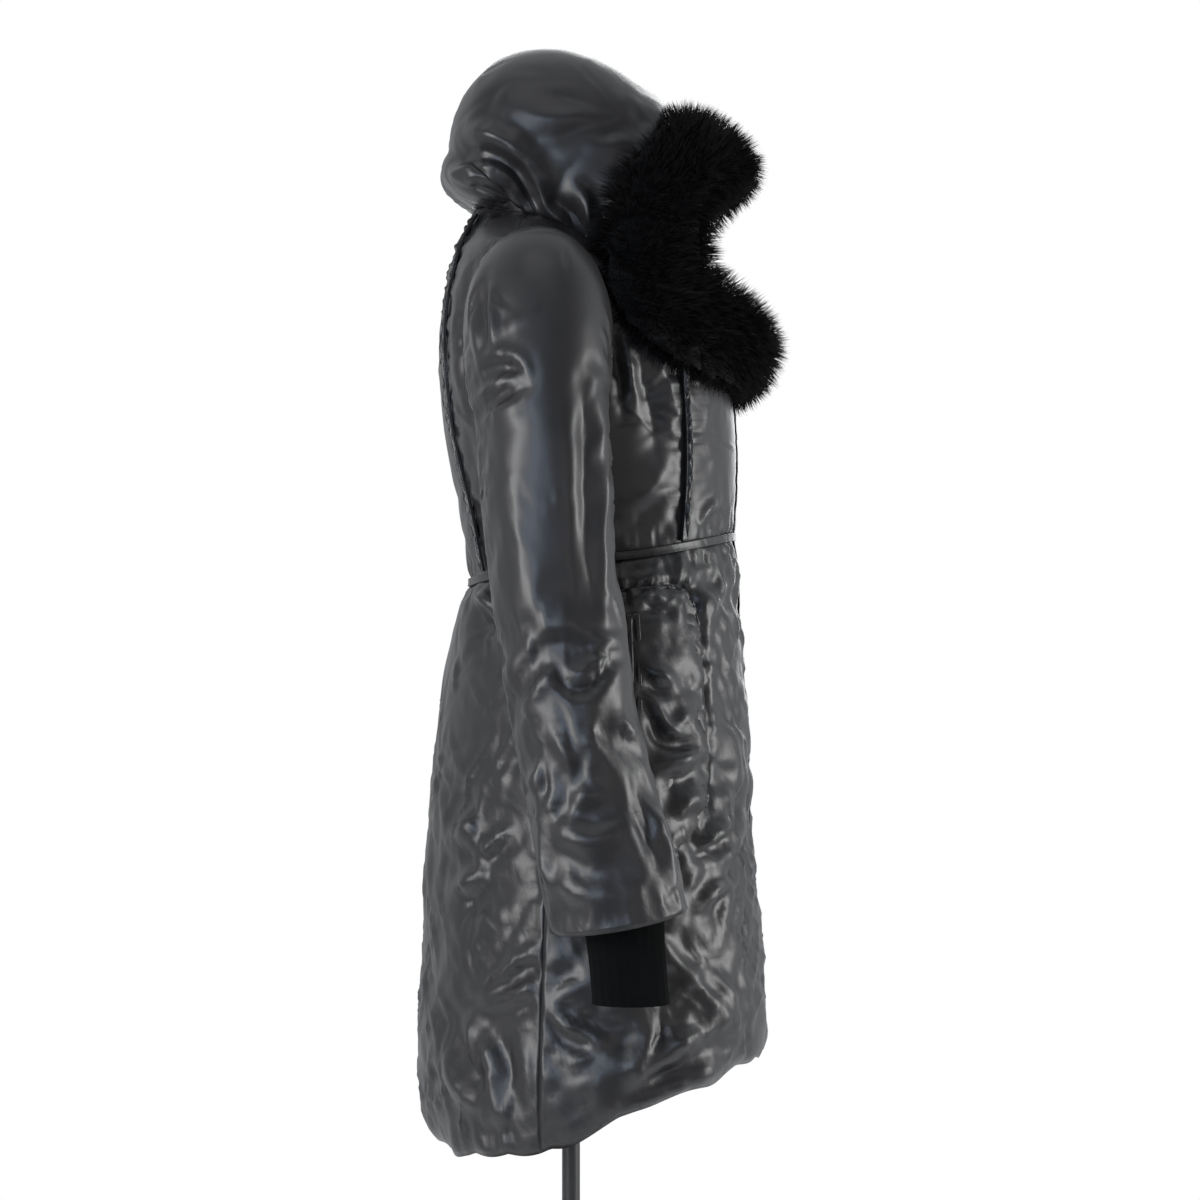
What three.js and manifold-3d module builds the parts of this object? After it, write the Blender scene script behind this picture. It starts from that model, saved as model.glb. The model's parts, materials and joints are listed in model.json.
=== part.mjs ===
// Long hooded puffer coat on a headless, limbless dress form with a pole stand.
// Millimetres, +Z up. The coat faces -Y and the wearer's right is -X.
// The origin is the centre of the stand's base, on the floor.
import * as THREE from "three";
import Module from "manifold-3d";
import { mergeVertices } from "three/addons/utils/BufferGeometryUtils.js";

// Driving dimensions
const SEAM_GAP = 0.3; // between two sewn pieces
const WALL = { bodice: 9, skirt: 10, sleeve: 8, hood: 9, cuff: 4 }; // padded wall thickness
const SEAM_DIP = 3; // how far the padding falls away at a seam
const SAME_POINT = 1e-4; // corners closer than this are one
const EXTRA_GAP = { armhole: 0.15, neck: 0.1 }; // added to the seam gap where two curved edges meet

// Rings of the bodice, from the waist seam (at 0) past the underarm (1) and the shoulder tip (2) to the
// neck seam (3). Each ring gives its height and depth at front, side and back, and its half width; power
// squares its corners, and rise says how late a tilted ring lifts from its side to its front and back.
const BODICE = [
  { at: 0.0, zFront: 1068, zSide: 1045, zBack: 1022, yFront: -163, ySide: -28, yBack: 101,
    half: 157, power: 2.2, rise: 1.3 },
  { at: 0.5, zFront: 1112, zSide: 1108, zBack: 1092, yFront: -166, ySide: -10, yBack: 108,
    half: 168, power: 2.2, rise: 1.3 },
  { at: 1.0, zFront: 1150, zSide: 1172, zBack: 1172, yFront: -166, ySide: 12, yBack: 123,
    half: 180, power: 2.3, rise: 1.3 },
  { at: 1.5, zFront: 1180, zSide: 1264, zBack: 1270, yFront: -165, ySide: 26, yBack: 129,
    half: 184, power: 2.3, rise: 1.3 },
  { at: 2.0, zFront: 1203, zSide: 1350, zBack: 1342, yFront: -163, ySide: 30, yBack: 116,
    half: 176, power: 2.3, rise: 1.3 },
  { at: 2.5, zFront: 1215, zSide: 1368, zBack: 1376, yFront: -162, ySide: 28, yBack: 105,
    half: 136, power: 2.2, rise: 1.3 },
  { at: 3.0, zFront: 1226, zSide: 1380, zBack: 1396, yFront: -160, ySide: 24, yBack: 96,
    half: 96, power: 2.1, rise: 1.3 },
];

// Rings of the skirt, from the waist seam (at 0) to the hem (6), which is higher in front than behind.
const SKIRT = [
  { at: 0.0, zFront: 1068, zSide: 1045, zBack: 1022, yFront: -163, ySide: -28, yBack: 101,
    half: 157, power: 2.2, rise: 1.3 },
  { at: 1.0, zFront: 1010, zSide: 985, zBack: 960, yFront: -168, ySide: -26, yBack: 114,
    half: 176, power: 2.15, rise: 1.2 },
  { at: 2.0, zFront: 932, zSide: 905, zBack: 880, yFront: -173, ySide: -24, yBack: 127,
    half: 196, power: 2.1, rise: 1.1 },
  { at: 3.0, zFront: 844, zSide: 815, zBack: 790, yFront: -177, ySide: -24, yBack: 136,
    half: 212, power: 2.1, rise: 1 },
  { at: 4.0, zFront: 750, zSide: 715, zBack: 690, yFront: -180, ySide: -25, yBack: 140,
    half: 225, power: 2.1, rise: 0.9 },
  { at: 5.0, zFront: 658, zSide: 616, zBack: 585, yFront: -190, ySide: -27, yBack: 144,
    half: 234, power: 2.1, rise: 0.75 },
  { at: 5.6, zFront: 600, zSide: 552, zBack: 516, yFront: -195, ySide: -28, yBack: 146,
    half: 239, power: 2.1, rise: 0.6 },
  { at: 6.0, zFront: 563, zSide: 510, zBack: 476, yFront: -191, ySide: -28, yBack: 138,
    half: 237, power: 2.1, rise: 0.52 },
];

// Where the seams run round the body: 0 is the centre front, 0.5 the side and 1 the centre back.
const SEAMS = [
  { at: 0.0, princessFront: 0.305, princessBack: 0.826 },
  { at: 0.5, princessFront: 0.28, princessBack: 0.856 },
  { at: 1.0, princessFront: 0.266, princessBack: 0.872 },
  { at: 1.5, princessFront: 0.262, princessBack: 0.885 },
  { at: 2.0, princessFront: 0.262, princessBack: 0.87 },
  { at: 3.0, princessFront: 0.27, princessBack: 0.8 },
];
const SIDE_SEAM = { bodice: 0.562, hem: 0.604 };
const ARMHOLE = { from: 1, to: 2, reach: 0.152, steps: 10 }; // rows it spans, and its half width round the body
const ARMHOLE_CENTRE = { y: 30, z: 1262 };
const SHOULDER_ROWS = [7 / 3, 8 / 3, 3]; // rows between the shoulder tip and the neck seam
const PANEL_COLUMNS = 5;
const SKIRT_ROWS = 12;

// Sections of the sleeve. Each is an oval between its inner point (under the arm) and its outer point
// (over the arm), given by distance out from the centre and by height; lean lifts its front edge.
const SLEEVE = [
  { outIn: 184, zIn: 1167, outTop: 192, zTop: 1356, y: 29, depth: 68, lean: 0 },
  { outIn: 187, zIn: 1162, outTop: 215, zTop: 1355, y: 29, depth: 71, lean: 0 },
  { outIn: 189, zIn: 1156, outTop: 240, zTop: 1341, y: 28, depth: 71, lean: 1 },
  { outIn: 190, zIn: 1149, outTop: 261, zTop: 1322, y: 27, depth: 69, lean: 2 },
  { outIn: 191, zIn: 1141, outTop: 277, zTop: 1288, y: 26, depth: 67, lean: 3 },
  { outIn: 192, zIn: 1129, outTop: 289, zTop: 1246, y: 24, depth: 65, lean: 4 },
  { outIn: 194, zIn: 1110, outTop: 298, zTop: 1198, y: 22, depth: 64, lean: 5 },
  { outIn: 198, zIn: 1078, outTop: 304, zTop: 1142, y: 20, depth: 63, lean: 6 },
  { outIn: 203, zIn: 1036, outTop: 309, zTop: 1080, y: 16, depth: 61, lean: 7 },
  { outIn: 208, zIn: 990, outTop: 313, zTop: 1016, y: 10, depth: 60, lean: 8 },
  { outIn: 213, zIn: 944, outTop: 317, zTop: 956, y: 3, depth: 60, lean: 9 },
  { outIn: 218, zIn: 897, outTop: 322, zTop: 900, y: -6, depth: 60, lean: 9 },
  { outIn: 223, zIn: 850, outTop: 328, zTop: 848, y: -18, depth: 60, lean: 10 },
  { outIn: 228, zIn: 803, outTop: 335, zTop: 798, y: -29, depth: 62, lean: 10 },
  { outIn: 232, zIn: 757, outTop: 341, zTop: 750, y: -39, depth: 65, lean: 11 },
  { outIn: 236, zIn: 722, outTop: 344, zTop: 712, y: -47, depth: 65, lean: 11 },
];
const SLEEVE_SEAM = { front: 4, back: 15 }; // columns round the sleeve, counted from the underarm forwards

// The largest soft folds of a sleeve: a ridge or trough centred at a height and a place round the sleeve.
const SLEEVE_FOLDS = [
  { z: 1205, turn: 268, height: 5, tall: 26, wide: 34 },
  { z: 1168, turn: 250, height: -6, tall: 18, wide: 40 },
  { z: 1130, turn: 108, height: 4, tall: 120, wide: 20 },
  { z: 965, turn: 110, height: 4, tall: 30, wide: 30 },
  { z: 935, turn: 215, height: -7, tall: 17, wide: 55 },
  { z: 905, turn: 175, height: 6, tall: 18, wide: 45 },
  { z: 872, turn: 120, height: -6, tall: 16, wide: 40 },
  { z: 800, turn: 205, height: 5, tall: 28, wide: 40 },
];

// Ribbed knit cuff: its wide top end is sewn to the sleeve's inner face, and it shows below the hem.
const CUFF = [
  { z: 734, out: 288.5, y: -46, depth: 43, width: 33, rib: 0 },
  { z: 712, out: 290, y: -51, depth: 34, width: 26, rib: 0.6 },
  { z: 642, out: 292, y: -57, depth: 35, width: 26, rib: 0.6 },
];
const CUFF_RIBS = 22;
const CUFF_SEAT = 0.5; // between the cuff's top end and the sleeve

// The hood's outline in the middle plane, from the brim over the crown to the roll of cloth at the back
// of the neck. wide is how far the sides swell past the neck seam, puff what a fold adds or takes.
const HOOD = [
  { y: -97, z: 1498, wide: 34, puff: 0 },
  { y: -64, z: 1525, wide: 38, puff: 0 },
  { y: -28, z: 1545, wide: 40, puff: 0 },
  { y: 10, z: 1556, wide: 41, puff: 0 },
  { y: 49, z: 1554, wide: 41, puff: 0 },
  { y: 83, z: 1540, wide: 40, puff: 0 },
  { y: 105, z: 1515, wide: 39, puff: 0 },
  { y: 117, z: 1487, wide: 38, puff: 0 },
  { y: 121, z: 1464, wide: 36, puff: 2 },
  { y: 122, z: 1450, wide: 34, puff: -2 },
  { y: 126, z: 1435, wide: 33, puff: 6 },
  { y: 125, z: 1419, wide: 28, puff: 6 },
  { y: 115, z: 1406, wide: 18, puff: 4 },
];
const HOOD_BASE = { open: 0.384, pivot: 0.66 }; // stretch of the neck seam under the side of the hood
const HOOD_COLUMNS = 8;
const HOOD_CENTRE = { y: 20, z: 1420 }; // inside the hood: its faces look away from here
const HOOD_FLOOR = { y: -48, z: 1345 }; // below the brim, where the filled hood is closed

// Fur trim: a thick band round the face opening and down the neckline, from the middle of the brim to the
// middle of the chest. back and fore are how far it reaches from its middle line, away from the face and
// towards it. turn is the tilt of its broad side in the YZ plane and flare how far the edge away from the
// face leans out over the chest, both in degrees.
const FUR = [
  { out: 0, y: -137, z: 1449, back: 54, fore: 54, loft: 32, turn: 36, flare: 0 },
  { out: 46, y: -131, z: 1444, back: 54, fore: 54, loft: 32, turn: 33, flare: 0 },
  { out: 84, y: -114, z: 1425, back: 53, fore: 51, loft: 31, turn: 25, flare: 2 },
  { out: 108, y: -92, z: 1395, back: 54, fore: 50, loft: 30, turn: 10, flare: 10 },
  { out: 122, y: -82, z: 1356, back: 62, fore: 58, loft: 30, turn: -8, flare: 26 },
  { out: 129, y: -92, z: 1314, back: 80, fore: 60, loft: 30, turn: -24, flare: 40 },
  { out: 116, y: -116, z: 1281, back: 70, fore: 55, loft: 31, turn: -40, flare: 43 },
  { out: 72, y: -149, z: 1256, back: 58, fore: 53, loft: 32, turn: -50, flare: 26 },
  { out: 0, y: -173, z: 1243, back: 42, fore: 42, loft: 31, turn: -58, flare: 0 },
];
const FUR_POWER = 2.4; // squares the band's section
const FUR_CLEAR = 0.9; // between the fur's skin and what it lies on
const FUR_STEPS = { along: 20, round: 14 };
const FUR_SLEEVE_ROWS = 8; // sections of the sleeve that the fur can touch
const TORSO_STOPS = [0, 0.26, 0.41, 0.55, 0.8, 1]; // places round the filled torso under the fur

// Trim sewn on the outside: offsets are from the cloth's face.
const PIPING = { half: 4, over: 1.6, seat: 0.5, waistSeat: 1.1 };
const PIPING_SPAN = { start: 0.05, frontEnd: 1.7, backEnd: 2.8 }; // rows of the bodice
const PIPING_FRONT_SHARES = [0.2, 0.4, 0.6, 0.8, 1]; // places of the waist strip between fly and princess seam
const FLY = { half: 20, under: -0.9, over: 2.8, startAt: 1.95, endAt: 4.9, columns: [-1, -0.35, 0.35, 1] };
const FRONT_VENT = { from: 4.9, hemHalf: 6 }; // the fronts part below the closure
const POCKET = { rear: 0.54, front: 0.268, frontLow: 0.25, top: 0.55, bottom: 3.75, square: 5 };
const POCKET_WALL = { under: -4, over: 6.2, dip: 2.6 }; // offsets from the skirt's face
const POCKET_ROWS = [0.004, 0.02, 0.06, 0.13, 0.25, 0.38, 0.5, 0.62, 0.75, 0.87, 0.94, 0.98, 0.996];
const POCKET_COLUMNS = [0, 0.2, 0.4, 0.6, 0.8, 1];
const WELT = { column: 0.4, half: 6, firstRow: 3, lastRow: 6, under: 0.5, over: 3 };

// Dress form, pole and base
const FORM_EASE = [
  { at: 0, ease: 16 },
  { at: 1, ease: 11 },
  { at: 1.5, ease: 8 },
  { at: 2, ease: 2.4 },
  { at: 2.3, ease: 1.2 },
  { at: 3, ease: 1 },
];
const FORM_ROWS = [0, 0.4, 0.8, 1.15, 1.5, 1.8, 2, ...SHOULDER_ROWS];
const FORM_HIPS = [
  { at: 0, zFront: 850, zSide: 850, zBack: 850, yFront: -128, ySide: -18, yBack: 90,
    half: 148, power: 2.2, rise: 1.3 },
  { at: 1, zFront: 880, zSide: 880, zBack: 880, yFront: -142, ySide: -20, yBack: 97,
    half: 158, power: 2.2, rise: 1.3 },
  { at: 2, zFront: 950, zSide: 935, zBack: 922, yFront: -143, ySide: -22, yBack: 96,
    half: 155, power: 2.2, rise: 1.3 },
  { at: 3, zFront: 1010, zSide: 992, zBack: 972, yFront: -140, ySide: -24, yBack: 88,
    half: 142, power: 2.2, rise: 1.3 },
];
const FORM_NECK = [
  { at: 0, zFront: 1300, zSide: 1390, zBack: 1404, yFront: -112, ySide: 20, yBack: 82,
    half: 72, power: 2, rise: 1.3 },
  { at: 1, zFront: 1362, zSide: 1402, zBack: 1412, yFront: -58, ySide: 18, yBack: 74,
    half: 60, power: 2, rise: 1.3 },
  { at: 2, zFront: 1425, zSide: 1432, zBack: 1436, yFront: -40, ySide: 14, yBack: 66,
    half: 55, power: 2, rise: 1.3 },
  { at: 3, zFront: 1444, zSide: 1444, zBack: 1444, yFront: -34, ySide: 14, yBack: 60,
    half: 48, power: 2, rise: 1.3 },
];
const POLE = { radius: 9, sides: 24 };
const COLLAR = { radius: 26, height: 34, bore: 9.3 };
const BASE = { radius: 190, thickness: 10, edge: 4, hub: 24, hubTop: 46, bore: 9.3, socketFloor: 16 };

// Materials
const nylon = new THREE.MeshStandardMaterial({ color: 0x3d3c3e, roughness: 0.32, metalness: 0.15 });
const piping = new THREE.MeshStandardMaterial({ color: 0x2c2b2d, roughness: 0.4, metalness: 0.1 });
const fur = new THREE.MeshStandardMaterial({ color: 0x060607, roughness: 0.95, metalness: 0 });
const knit = new THREE.MeshStandardMaterial({ color: 0x101214, roughness: 0.9, metalness: 0 });
const jersey = new THREE.MeshStandardMaterial({ color: 0x1d1d1e, roughness: 0.85, metalness: 0 });
const steel = new THREE.MeshStandardMaterial({ color: 0x2c2c2c, roughness: 0.4, metalness: 0.6 });

const coat = new THREE.Group();

function addPiece(name, geometry, material) {
  const mesh = new THREE.Mesh(geometry, material);
  mesh.name = name;
  coat.add(mesh);
}

// Curves through the tables

// A column of a table at any station, as a smooth curve through its rows.
function column(table, key, at) {
  const last = table.length - 1;
  let i = 0;
  while (i < last - 1 && at > table[i + 1].at) i += 1;
  const slopeAt = (k) => {
    const a = table[Math.max(0, k - 1)];
    const b = table[Math.min(last, k + 1)];
    return (b[key] - a[key]) / (b.at - a.at);
  };
  const span = table[i + 1].at - table[i].at;
  const t = (at - table[i].at) / span;
  const rise = table[i + 1][key] - table[i][key];
  const bend0 = slopeAt(i) * span - rise;
  const bend1 = rise - slopeAt(i + 1) * span;
  return table[i][key] + t * rise + t * (1 - t) * ((1 - t) * bend0 + t * bend1);
}

// A point of a ringed surface on the right side; round below 0 or above 1 carries on to the left side.
function ringPoint(table, round, at) {
  const left = round < 0 || round > 1;
  const u = round < 0 ? -round : round > 1 ? 2 - round : round;
  const end = u < 0.5 ? "Front" : "Back";
  const turn = Math.abs(u - 0.5) * Math.PI;
  const along = Math.sin(turn);
  const squareness = 2 / column(table, "power", at);
  const ySide = column(table, "ySide", at);
  const zSide = column(table, "zSide", at);
  const x = column(table, "half", at) * Math.max(0, Math.cos(turn)) ** squareness;
  const y = ySide + (column(table, "y" + end, at) - ySide) * along ** squareness;
  const z = zSide + (column(table, "z" + end, at) - zSide) * along ** column(table, "rise", at);
  return new THREE.Vector3(left ? x : -x, y, z);
}

// The outward normal of a ringed surface, and how many millimetres one unit of each parameter covers.
function ringFrame(table, round, at) {
  const step = 0.004;
  const low = Math.max(table[0].at, at - step);
  const high = Math.min(table[table.length - 1].at, at + step);
  const du = ringPoint(table, round + step, at).sub(ringPoint(table, round - step, at));
  const dv = ringPoint(table, round, high).sub(ringPoint(table, round, low));
  const normal = new THREE.Vector3().crossVectors(du, dv).normalize();
  const centre = new THREE.Vector3(0, column(table, "ySide", at), 0);
  const point = ringPoint(table, round, at);
  const outward = point.clone().sub(centre).setZ(0);
  if (normal.dot(outward) < 0) normal.negate();
  return { point, normal, perRound: du.length() / (2 * step), perRow: dv.length() / (high - low) };
}

// Where round the front a ring stands a given distance from the middle.
function roundAtWidth(table, at, width) {
  let low = 0;
  let high = 0.5;
  for (let k = 0; k < 40; k += 1) {
    const mid = (low + high) / 2;
    if (-ringPoint(table, mid, at).x < width) low = mid;
    else high = mid;
  }
  return high;
}

// Solids from rows of points

function signedVolume(points, faces) {
  let sum = 0;
  for (const [a, b, c] of faces) {
    sum += points[a].dot(new THREE.Vector3().crossVectors(points[b], points[c]));
  }
  return sum / 6;
}

function geometryOf(points, faces) {
  const outward = signedVolume(points, faces) > 0;
  const index = faces.flatMap(([a, b, c]) => (outward ? [a, b, c] : [a, c, b]));
  const geometry = new THREE.BufferGeometry().setFromPoints(points);
  geometry.setIndex(index);
  return geometry;
}

// A wall between two equal grids of points, closed by a rim; wrapped makes each row a closed ring.
function wallSolid(outer, inner, wrapped = false) {
  const rows = outer.length;
  const columns = outer[0].length;
  const points = [...outer.flat(), ...inner.flat()];
  const spot = (layer, r, c) => (layer * rows + r) * columns + (c % columns);
  const faces = [];
  const quad = (a, b, c, d) => faces.push([a, b, c], [a, c, d]);
  const lastColumn = wrapped ? columns : columns - 1;
  for (let r = 0; r < rows - 1; r += 1) {
    for (let c = 0; c < lastColumn; c += 1) {
      quad(spot(0, r, c), spot(0, r, c + 1), spot(0, r + 1, c + 1), spot(0, r + 1, c));
      quad(spot(1, r, c), spot(1, r + 1, c), spot(1, r + 1, c + 1), spot(1, r, c + 1));
    }
    if (!wrapped) {
      quad(spot(0, r, 0), spot(0, r + 1, 0), spot(1, r + 1, 0), spot(1, r, 0));
      const end = lastColumn;
      quad(spot(0, r, end), spot(1, r, end), spot(1, r + 1, end), spot(0, r + 1, end));
    }
  }
  for (let c = 0; c < lastColumn; c += 1) {
    quad(spot(0, 0, c), spot(1, 0, c), spot(1, 0, c + 1), spot(0, 0, c + 1));
    quad(spot(0, rows - 1, c), spot(0, rows - 1, c + 1), spot(1, rows - 1, c + 1), spot(1, rows - 1, c));
  }
  return geometryOf(points, faces);
}

// A solid bounded by closed rings, with a flat fan at each end.
function loftSolid(rings) {
  const count = rings[0].length;
  const points = rings.flat();
  const faces = [];
  for (let r = 0; r < rings.length - 1; r += 1) {
    for (let c = 0; c < count; c += 1) {
      const next = (c + 1) % count;
      faces.push([r * count + c, r * count + next, (r + 1) * count + next]);
      faces.push([r * count + c, (r + 1) * count + next, (r + 1) * count + c]);
    }
  }
  for (const r of [0, rings.length - 1]) {
    const middle = rings[r].reduce((sum, p) => sum.add(p), new THREE.Vector3()).divideScalar(count);
    points.push(middle);
    for (let c = 0; c < count; c += 1) {
      const pair = [r * count + c, r * count + ((c + 1) % count)];
      if (r === 0) pair.reverse();
      faces.push([...pair, points.length - 1]);
    }
  }
  return geometryOf(points, faces);
}

const mirrored = (rows) => rows.map((row) => row.map((p) => new THREE.Vector3(-p.x, p.y, p.z)));

// A right piece, and the left one as its mirror image.
function addMirrored(name, right, material) {
  const left = right.clone().applyMatrix4(new THREE.Matrix4().makeScale(-1, 1, 1));
  left.setIndex(new THREE.BufferAttribute(new Uint32Array(left.index.array).reverse(), 1));
  addPiece(name + "_R", right, material);
  addPiece(name + "_L", left, material);
}

// The same for a wall given by its rows.
function addPair(name, outer, inner, material, wrapped = false) {
  addPiece(name + "_R", wallSolid(outer, inner, wrapped), material);
  addPiece(name + "_L", wallSolid(mirrored(outer), mirrored(inner), wrapped), material);
}

// Bodice and skirt panels

const armholeRows = Array.from({ length: ARMHOLE.steps + 1 }, (_, k) => {
  const middle = (ARMHOLE.from + ARMHOLE.to) / 2;
  const half = (ARMHOLE.to - ARMHOLE.from) / 2;
  return middle - half * Math.cos((k * Math.PI) / ARMHOLE.steps);
});
const bodiceRows = [0, 0.25, 0.5, 0.75, ...armholeRows, ...SHOULDER_ROWS];
const skirtRows = Array.from({ length: SKIRT_ROWS + 1 }, (_, k) => (6 * k) / SKIRT_ROWS);

// Half the width of the armhole, round the body, at a row of the bodice.
function armholeReach(at) {
  if (at <= ARMHOLE.from || at >= ARMHOLE.to) return 0;
  const middle = (ARMHOLE.from + ARMHOLE.to) / 2;
  const half = (ARMHOLE.to - ARMHOLE.from) / 2;
  return ARMHOLE.reach * Math.sqrt(1 - ((at - middle) / half) ** 2);
}

const bodiceSeam = {
  centreFront: (at) => roundAtWidth(BODICE, at, SEAM_GAP / 2),
  princessFront: (at) => column(SEAMS, "princessFront", at),
  sideFront: (at) => SIDE_SEAM.bodice - armholeReach(at),
  sideBack: (at) => SIDE_SEAM.bodice + armholeReach(at),
  princessBack: (at) => column(SEAMS, "princessBack", at),
  centreBack: () => 1,
};
const skirtSide = (at) => SIDE_SEAM.bodice + ((SIDE_SEAM.hem - SIDE_SEAM.bodice) * at) / 6;

function frontVent(at) {
  const share = Math.max(0, at - FRONT_VENT.from) / (6 - FRONT_VENT.from);
  return roundAtWidth(SKIRT, at, SEAM_GAP / 2 + FRONT_VENT.hemHalf * share);
}

// Rows of outer and inner points of a padded panel between two seams. A seam edge stands half a gap
// back from its line, and the padding falls away towards every edge.
function panelRows(table, rows, from, to, columns, wall, trim, grow = 0) {
  const outer = [];
  const inner = [];
  rows.forEach((row, r) => {
    const outerRow = [];
    const innerRow = [];
    const edgeRow = r === 0 || r === rows.length - 1;
    for (let c = 0; c <= columns; c += 1) {
      const edge = edgeRow || c === 0 || c === columns;
      let round = from(row) + ((to(row) - from(row)) * c) / columns;
      const scale = ringFrame(table, round, row);
      if (c === 0 && trim.from) round += SEAM_GAP / 2 / scale.perRound;
      if (c === columns && trim.to) round -= SEAM_GAP / 2 / scale.perRound;
      let at = row;
      if (r === 0 && trim.first) at += SEAM_GAP / 2 / scale.perRow;
      if (r === rows.length - 1 && trim.last) at -= SEAM_GAP / 2 / scale.perRow;
      const { point, normal } = ringFrame(table, round, at);
      outerRow.push(point.clone().addScaledVector(normal, grow - (edge ? SEAM_DIP : 0)));
      innerRow.push(point.clone().addScaledVector(normal, -wall));
    }
    outer.push(outerRow);
    inner.push(innerRow);
  });
  return { outer, inner };
}

const bodiceTrim = { from: true, to: true, first: true };
const frontTrim = { ...bodiceTrim, from: false };
const bodicePanel = (from, to, columns, trim = bodiceTrim) =>
  panelRows(BODICE, bodiceRows, from, to, columns, WALL.bodice, trim);
const bodicePanels = {
  front: bodicePanel(bodiceSeam.centreFront, bodiceSeam.princessFront, PANEL_COLUMNS, frontTrim),
  side_front: bodicePanel(bodiceSeam.princessFront, bodiceSeam.sideFront, PANEL_COLUMNS),
  side_back: bodicePanel(bodiceSeam.sideBack, bodiceSeam.princessBack, PANEL_COLUMNS),
};
for (const [name, rows] of Object.entries(bodicePanels)) {
  addPair("bodice_" + name, rows.outer, rows.inner, nylon);
}
const otherBack = (at) => 2 - bodiceSeam.princessBack(at);
const backAcross = bodicePanel(bodiceSeam.princessBack, otherBack, 2 * PANEL_COLUMNS);
addPiece("bodice_back", wallSolid(backAcross.outer, backAcross.inner), nylon);

const skirtTrim = { to: true, first: true };
const skirtPanel = (from, to, columns, trim, grow = 0) =>
  panelRows(SKIRT, skirtRows, from, to, columns, WALL.skirt, trim, grow);
const skirtFront = skirtPanel(frontVent, skirtSide, 2 * PANEL_COLUMNS, skirtTrim);
addPair("skirt_front", skirtFront.outer, skirtFront.inner, nylon);
const skirtBackTrim = { ...skirtTrim, from: true };
const skirtBack = skirtPanel(skirtSide, (at) => 2 - skirtSide(at), 4 * PANEL_COLUMNS, skirtBackTrim);
addPiece("skirt_back", wallSolid(skirtBack.outer, skirtBack.inner), nylon);

// Sleeves

// The armhole's edge on the right side, from the underarm up the front, over the shoulder and down the
// back, as pairs of an outer and an inner point of the bodice's wall, moved a seam gap into the hole.
function armholeEdge() {
  const first = bodiceRows.indexOf(ARMHOLE.from);
  const edge = [];
  const hole = new THREE.Vector3(0, ARMHOLE_CENTRE.y, ARMHOLE_CENTRE.z);
  const place = (panel, r, c) => {
    const outer = panel.outer[r][c];
    const toHole = hole.clone().sub(outer).setX(0).setLength(SEAM_GAP + EXTRA_GAP.armhole);
    edge.push({ outer: outer.clone().add(toHole), inner: panel.inner[r][c].clone().add(toHole) });
  };
  for (let k = 0; k <= ARMHOLE.steps; k += 1) place(bodicePanels.side_front, first + k, PANEL_COLUMNS);
  for (let k = ARMHOLE.steps - 1; k > 0; k -= 1) place(bodicePanels.side_back, first + k, 0);
  return edge;
}

const sleeveTurns = 2 * ARMHOLE.steps;

// What the folds add to the sleeve at a height and a turn round it, in degrees.
function foldHeight(z, turn) {
  let sum = 0;
  for (const fold of SLEEVE_FOLDS) {
    let away = Math.abs(turn - fold.turn);
    if (away > 180) away = 360 - away;
    sum += fold.height * Math.exp(-(((z - fold.z) / fold.tall) ** 2) - (away / fold.wide) ** 2);
  }
  return sum;
}

function sleeveSection(section, shrink, folded) {
  const under = new THREE.Vector3(-section.outIn, section.y, section.zIn);
  const over = new THREE.Vector3(-section.outTop, section.y, section.zTop);
  const centre = under.clone().add(over).divideScalar(2);
  const halfAcross = over.distanceTo(under) / 2;
  const across = over.sub(under).normalize();
  return Array.from({ length: sleeveTurns }, (_, j) => {
    const turn = (360 * j) / sleeveTurns;
    const angle = THREE.MathUtils.degToRad(turn);
    const forward = Math.sin(angle);
    const plain = centre
      .clone()
      .addScaledVector(across, -(halfAcross - shrink) * Math.cos(angle))
      .add(new THREE.Vector3(0, -(section.depth - shrink) * forward, section.lean * forward));
    const lift = folded ? foldHeight(plain.z, turn) : 0;
    const away = plain.clone().sub(centre).normalize();
    return plain.addScaledVector(away, lift);
  });
}

const edge = armholeEdge();
const sleeveOuter = [edge.map((e) => e.outer), ...SLEEVE.map((s) => sleeveSection(s, 0, true))];
const sleeveInner = [edge.map((e) => e.inner), ...SLEEVE.map((s) => sleeveSection(s, WALL.sleeve, false))];

// The part of a ringed wall between two columns, with its long edges parted from its neighbour's.
function stripOf(outer, inner, from, to) {
  const count = outer[0].length;
  const cut = { outer: [], inner: [] };
  outer.forEach((ring, r) => {
    const outerRow = [];
    const innerRow = [];
    for (let j = from; j <= to; j += 1) {
      const here = j % count;
      const outerPoint = ring[here].clone();
      const innerPoint = inner[r][here].clone();
      if (j === from || j === to) {
        const next = (here + (j === from ? 1 : count - 1)) % count;
        const outerStep = ring[next].clone().sub(outerPoint).setLength(SEAM_GAP / 2);
        outerPoint.add(outerStep);
        innerPoint.add(outerStep);
        if (r > 0) outerPoint.lerp(innerPoint, SEAM_DIP / 2 / WALL.sleeve);
      } else if (r === outer.length - 1) {
        outerPoint.lerp(innerPoint, SEAM_DIP / WALL.sleeve);
      }
      outerRow.push(outerPoint);
      innerRow.push(innerPoint);
    }
    cut.outer.push(outerRow);
    cut.inner.push(innerRow);
  });
  return cut;
}

const upperSleeve = stripOf(sleeveOuter, sleeveInner, SLEEVE_SEAM.front, SLEEVE_SEAM.back);
const underSleeve = stripOf(sleeveOuter, sleeveInner, SLEEVE_SEAM.back, SLEEVE_SEAM.front + sleeveTurns);
addPair("sleeve_upper", upperSleeve.outer, upperSleeve.inner, nylon);
addPair("sleeve_under", underSleeve.outer, underSleeve.inner, nylon);

// Knit cuffs, with the ribs raised in the outer face

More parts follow.
